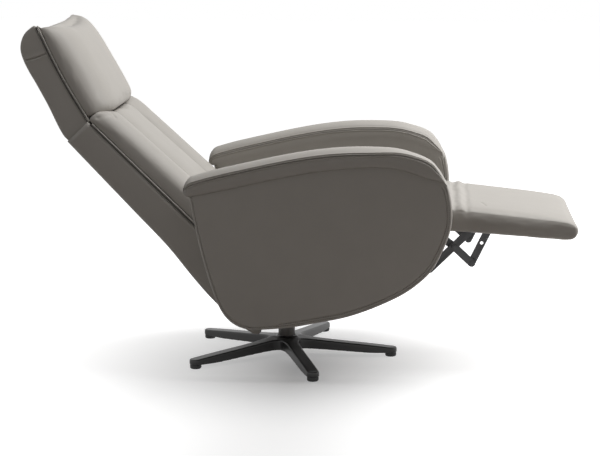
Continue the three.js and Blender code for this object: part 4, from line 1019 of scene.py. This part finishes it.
def dip(points, far=0, near=0):
    """Lowers the top edge between its corners, most in the middle, and each corner by its own amount."""
    points = np.array(points, float)
    s = (points[:, 0] - head_foot[0]) * head_up[0] + (points[:, 2] - head_foot[1]) * head_up[1]
    share = np.clip((s / head_length - dip_start) / 0.55, 0, 1.05)
    across = np.minimum(1, np.abs(points[:, 1]) / head_half)
    corner = np.where(points[:, 1] > 0, far, near)
    drop = share ** 3 * (dip_depth - 14 * across ** 3 - 27 * across ** 2.2 + corner * across ** 4)
    points[:, 0] -= head_up[0] * drop
    points[:, 2] -= head_up[1] * drop
    return points


cap_seam = smooth_path([(-750, 900), (-724, 906), (-692, 915), (-654, 930), (-630, 941)], 50)
head_shell, seams = slab("headrest_shell_cover", head_outline, -head_half, head_half, 9, leather, swell=1.5,
                         seams=[cap_seam], pitch=12, spans=26, bend=lambda points: dip(points, 12))
seat_on(head_shell, "headrest", ["headrest_shell"])
print("headrest shell points", len(head_shell.data.vertices))

# %% [markdown]
# The pad is full in its lower half and thins towards the top. Each row of the table gives a share of its
# length with the shares of its height and of its width there. Its foot sags a little between its sides.

# %% Headrest pad
pad_shares = [(0.004, 0.66, 0.97), (0.02, 0.82, 0.985), (0.06, 0.92, 0.995), (0.14, 0.97, 1), (0.3, 0.998, 1),
              (0.42, 1, 1), (0.6, 0.975, 1), (0.75, 0.91, 1), (0.86, 0.81, 0.998), (0.93, 0.68, 0.995),
              (0.975, 0.53, 0.985), (0.995, 0.33, 0.98)]
head_pad_full, head_pad_half = 84, 244.5
pad_height = [(row[0], row[1]) for row in pad_shares]
pad_width = [(row[0], row[2]) for row in pad_shares]
roll_shares = [(0.978, 0), (0.99, 0.1), (0.982, 0.3), (0.945, 0.5), (0.875, 0.71), (0.765, 0.87), (0.6, 0.96),
               (0.38, 0.993), (0, 1)]


def head_pad_ring(u):
    height = head_pad_full * read_off(pad_height, u)
    half_width = head_pad_half * read_off(pad_width, u)
    half = [(half_width * share, -7 * math.sin(math.pi * u) + 0.5 + height * h)
            for share, h in smooth_path(roll_shares, 30)]
    section = both_sides(half)
    lean = math.tan(math.radians(4.5)) * max(0, 1 - 2 * u)
    sag = [max(0, 1 - u / 0.4) ** 2 * (9 - 28 * (abs(y) / 243) ** 4) for y, n in section]
    return [head_at(head_length * u + lean * n - down, y, n) for (y, n), down in zip(section, sag)]


pad_rings = [dip(head_pad_ring(u), -5, 5) for u in 0.004 + 0.991 * cushion_stations(60)]
pad = skin("headrest_pad_cover", pad_rings, leather)
inflate(pad, 3)
seat_on(subdivide(pad), "headrest", ["headrest_pad"])

# %% [markdown]
# The seat cushion has a crown, a front edge that rolls over, and a deep core between the side plates. Its
# top falls towards the back, and its rear end reaches past the core to the back's cushions.

# %% Seat cushion
seat_rear, seat_front, seat_half, front_top, front_edge = -76, 411.5, 254, 499, 412
seat_slope, rim_depth, core_depth, core_rear = 0.163, 38.5, 75, -57
seat_height_shares = [(0, 0.25), (0.03, 0.7), (0.12, 0.95), (0.35, 1), (0.65, 1), (0.88, 0.9), (0.97, 0.5), (1, 0)]
seat_width_shares = [(0, 0.9), (0.03, 0.985), (0.12, 1), (0.65, 1), (0.88, 1), (0.97, 0.99), (1, 0.955)]


def seat_ring(u):
    x = seat_rear + (seat_front - seat_rear) * u
    half_width = seat_half * read_off(seat_width_shares, u)
    top = front_top - (front_edge - x) * seat_slope
    crown = 12.6 + 16 * (read_off(seat_height_shares, u) - 0.2)
    core = rim_depth + (core_depth - rim_depth) * min(1, max(0, x - core_rear) / 9)
    upper = [(half_width * math.cos(a) ** 0.5, top - 19 + crown * math.sin(a) ** 0.5)
             for a in np.linspace(0, math.pi / 2, 22)]
    lower = [(half_width - 3, top - 34), (half_width - 8, top - 37.5), (200, top - 38), (168, top - rim_depth),
             (166, top - (rim_depth + core) / 2), (160, top - core), (80, top - core)]
    return [(x, y, z) for y, z in both_sides(lower[::-1] + upper)]


seat = skin("seat_pad", [seat_ring(u) for u in cushion_stations(60)], leather)
inflate(seat, 4, voxel_mm=9)
seat_on(subdivide(seat), "chassis", ["seat_cushion"])

# %% [markdown]
# The footrest pad is thin and crowned, with steep sides. It thins towards its front edge, where its foot
# rises and its top rolls over.

# %% Footrest pad
rest_rear, rest_front, rest_half = 460, 848, 244
rest_top, rest_foot, top_falls, foot_falls, rest_crown = 484, 431, 36, 24, 22
rest_crown_shares = [(0, 0.8), (0.03, 1), (0.12, 1.02), (0.25, 0.95), (0.45, 0.9), (0.7, 0.8), (0.88, 0.62),
                     (0.945, 0.42), (0.975, 0.1), (1, -0.4)]
rest_foot_shares = [(0, 0), (0.93, 0), (0.96, 0.06), (0.985, 0.2), (1, 0.42)]
rest_width_shares = [(0, 0.98), (0.03, 1), (0.93, 1), (0.97, 0.995), (0.99, 0.98), (1, 0.955)]


def rest_levels(u, foot_share=0):
    """At a share of the length: how far along, the foot's and the shoulder's height, and the rise to the crown."""
    top, bottom = rest_top - top_falls * u, rest_foot - foot_falls * min(1, u / 0.9)
    foot = bottom + (top - bottom) * foot_share
    shoulder = foot + (top - foot) * 0.7
    return (rest_rear + (rest_front - rest_rear) * u, foot, shoulder,
            top - shoulder + rest_crown * read_off(rest_crown_shares, u))


def rest_ring(u):
    x, foot, shoulder, rise = rest_levels(u, read_off(rest_foot_shares, u))
    half_width = rest_half * read_off(rest_width_shares, u)
    upper = [(half_width * math.cos(a) ** 0.28, shoulder + rise * math.sin(a) ** 0.32)
             for a in np.linspace(0, math.pi / 2, 24)]
    lower = [(half_width - 5, foot), (half_width - 1.2, foot + 2), (half_width, foot + 6)]
    return [(x, y, z) for y, z in both_sides(lower + upper[1:])]


rest = skin("footrest_pad_cover", [rest_ring(u) for u in cushion_stations(72)], leather)
inflate(rest, 2, pressure=1.5)

# %% [markdown]
# The leather next to the seat is bunched, because it has to stretch when the footrest folds down. It lies
# in uneven folds across the width, deeper in the middle of the strip and fading at both sides of it. A
# seam is pressed in along each side, and one short fold near a rear corner.

# %% Folds of the footrest
folds_middle, folds_half, first_fold, fold_pitch, fold_depth, wrinkle_depth = 512, 30, 468, 37, 3.2, 1.6


def fold_height(x, y):
    drift = 7 * noise.noise(Vector((y / 130, 4.2, 0))) + 3 * noise.noise(Vector((y / 45, 9.1, 0)))
    strip = math.exp(-((x - folds_middle) / folds_half) ** 4)
    waves = math.sin((x + drift - first_fold) * 2 * math.pi / fold_pitch)
    wrinkles = noise.noise(Vector((x / 11, y / 60, 2)))
    return strip * (fold_depth * waves + wrinkle_depth * wrinkles)


for vertex in rest.data.vertices:
    x, y, z = vertex.co / MM
    top_share = min(1, max(0, (z - 455) / 25))
    vertex.co.z += MM * fold_height(x, y) * top_share
apply_all(subdivide(rest))
for sign in (1, -1):
    stations = [rest_levels(u) for u in np.linspace(0.04, 0.96, 160)]
    seam = [(x, sign * (rest_half - 1.5), shoulder + rise * 0.62) for x, foot, shoulder, rise in stations]
    press(rest, seam, 2.4, 2.2)
press(rest, np.linspace((575, -135, 495), (585, -176, 493), 14), 2.2, 3.5)
seat_on(rest, "footrest", ["footrest_pad"])
print("footrest pad points", len(rest.data.vertices))

# %% [markdown]
# Piping and a concealed zip run up the seam between shell and cushions, on both sides of the back, and
# go on round the headrest.

# %% Welts and zips
def lay_welt(name, path, body):
    seat_on(sweep(name, path, 4.8, 4.8, leather_welt), body)


def lay_zip(name, path, body):
    seat_on(sweep(name, path, 3.6, 2.8, zip_tape), body)


for side, sign in (("left", 1), ("right", -1)):
    seam = [back_at(s, sign * (back_half - 2.6), seam_at(s) + 3.4) for s in np.linspace(60, 746, 70)]
    lay_welt(f"back_welt_{side}", seam, "back")
    seam = [back_at(s, sign * (back_half - 0.4), seam_at(s) - 0.9) for s in np.linspace(60, 750, 70)]
    lay_zip(f"back_zip_{side}", seam, "back")
seam = [head_seam_at(u, head_half - 2, 3.2) for u in np.linspace(0.02, 1, 40)]
across = [head_at(head_length, y, 3.2) for y in np.linspace(head_half - 10, -head_half + 10, 40)]
seam = dip(seam + across + [(x, -y, z) for x, y, z in seam[::-1]], 5, 3)
lay_welt("headrest_welt", smooth_path(seam, 220), "headrest")
for side, sign in (("left", 1), ("right", -1)):
    seam = dip([head_seam_at(u, sign * (head_half + 0.3), -1.2) for u in np.linspace(0.02, 0.99, 50)], 8)
    lay_zip(f"headrest_zip_{side}", seam, "headrest")
print("welts and zips laid along the seams")

# %% [markdown]
# A leather bridge closes the gap between seat and footrest. It is sewn to the seat's front, and on the chair
# it folds flat against it when the footrest swings down; here it is one fixed piece that rides on the chassis.

# %% Knee flap
flap_line = smooth_path([(407, 484), (412.6, 483), (424, 476), (436, 472), (448, 471), (459.5, 474)], 24)
flap_half, flap_thickness = 232, 10
flap_rings = []
for y in np.linspace(-flap_half, flap_half, 60):
    upper = [(x, y, z + 1.6 * noise.noise(Vector((x / 9, y / 40, 3)))) for x, z in flap_line]
    flap_rings.append(upper + [(x, y, z - flap_thickness) for x, z in flap_line[::-1]])
flap = seat_on(skin("knee_flap_cover", flap_rings, leather), "chassis", ["knee_flap"])
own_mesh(flap)
print("knee flap points", len(flap.data.vertices))

# %% [markdown]
# The setting is a pale floor and a white backdrop. Both are white only as the camera, or a gloss, sees
# them, so that no more light falls on the chair. The floor's glow carries a painted shadow: it is dim in
# the middle under the chair and rises to full white all round, over the real shadow that the lamps cast
# there. The painted shadow reaches further towards the camera than behind the chair.

# %% Floor
# The floor's painted shadow: its middle, its reach, and how dark the glow is at that middle.
painted_shadow_middle, painted_shadow_reach, painted_shadow_darkest = (0.044, -0.139, 0), 1.075, 0.243


def studio_floor():
    material, tree, shader = new_material("studio_floor_with_painted_shadow")
    path = add_node(tree, "ShaderNodeLightPath").outputs
    seen = calculate(tree, "MAXIMUM", path["Is Camera Ray"], path["Is Glossy Ray"])
    place = add_node(tree, "ShaderNodeTexCoord").outputs["Object"]
    from_chair = calculate(tree, "SUBTRACT", place, painted_shadow_middle, vector=True)
    either_way = calculate(tree, "ABSOLUTE", from_chair, vector=True)
    behind = calculate(tree, "MULTIPLY", either_way, (0, 0.47, 0), vector=True)
    stretched = calculate(tree, "MULTIPLY_ADD", from_chair, (1.53, 0.8, 1.0), behind, vector=True)
    # Painted shadow: the glow is darkest at the middle under the chair and full white past its reach.
    painted_shadow_glow = add_node(tree, "ShaderNodeMapRange", None, {
        "Value": calculate(tree, "LENGTH", stretched, vector=True), "From Min": 0.0, "From Max": painted_shadow_reach,
        "To Min": painted_shadow_darkest, "To Max": 1.0})
    set_inputs(tree, shader, {
        "Base Color": two_tone(tree, seen, (0.37, 0.34, 0.32, 1), (0.6, 0.6, 0.6, 1)),
        "Emission Strength": calculate(tree, "MULTIPLY", painted_shadow_glow.outputs["Result"], seen),
        "Emission Color": (1, 1, 1, 1), "Roughness": 0.9, "Specular IOR Level": 0.0})
    return material


bpy.ops.mesh.primitive_plane_add(size=30, location=(0, 0, 0))
floor = bpy.context.object
floor.name = "floor"
floor.data.materials.append(studio_floor())

world = bpy.data.worlds.new("studio")
bpy.context.scene.world = world
world.use_nodes = True
tree = world.node_tree
path = add_node(tree, "ShaderNodeLightPath").outputs
direct = calculate(tree, "MAXIMUM", path["Is Camera Ray"], path["Is Transmission Ray"])
seen = calculate(tree, "MAXIMUM", direct, path["Is Glossy Ray"])
set_inputs(tree, tree.nodes["Background"], {"Color": two_tone(tree, seen, (0.036, 0.032, 0.030, 1), (1, 1, 1, 1))})
print("floor and backdrop ready")

# %% [markdown]
# Three soft lamps: a wide one high over the footrest's end, one in front of the chair, and a weak fill from
# the camera's side at the headrest. Tops are bright, and the near arm's face lies in shade.

# %% Lamps
def soft_light(name, place, target, size, power):
    lamp = bpy.data.lights.new(name, "AREA")
    lamp.shape, lamp.size, lamp.energy = "DISK", size, power
    lamp_object = link_object(name, lamp)
    lamp_object.location = place
    lamp_object.rotation_euler = (Vector(target) - Vector(place)).to_track_quat("-Z", "Y").to_euler()


soft_light("overhead", (1.35, 0.3, 3.4), (0, 0, 0.4), 2.6, 99)
soft_light("front", (3.2, 0.6, 2.1), (0.0, 0, 0.6), 1.8, 54)
soft_light("left_fill", (-2.5, -2.0, 2.5), (-0.5, -0.2, 0.8), 1.6, 13)
print("lamps", len(bpy.data.lights))

# %% [markdown]
# The camera looks at the chair's side from a little above, a little from the front, with a long lens.

# %% Camera
azimuth, elevation = math.radians(3.9), math.radians(10.48)
aim, distance = Vector((0.0402, 0, 0.3889)), 5.306
level = math.cos(elevation)
look = Vector((-math.sin(azimuth) * level, math.cos(azimuth) * level, -math.sin(elevation)))
lens = bpy.data.cameras.new("camera")
lens.lens, lens.sensor_width = 106.26, 36
camera = link_object("camera", lens)
camera.location = aim - look * distance
camera.rotation_euler = look.to_track_quat("-Z", "Y").to_euler()
bpy.context.scene.camera = camera
bpy.context.scene.view_settings.view_transform = "Standard"
print("camera at", [round(v, 3) for v in camera.location])
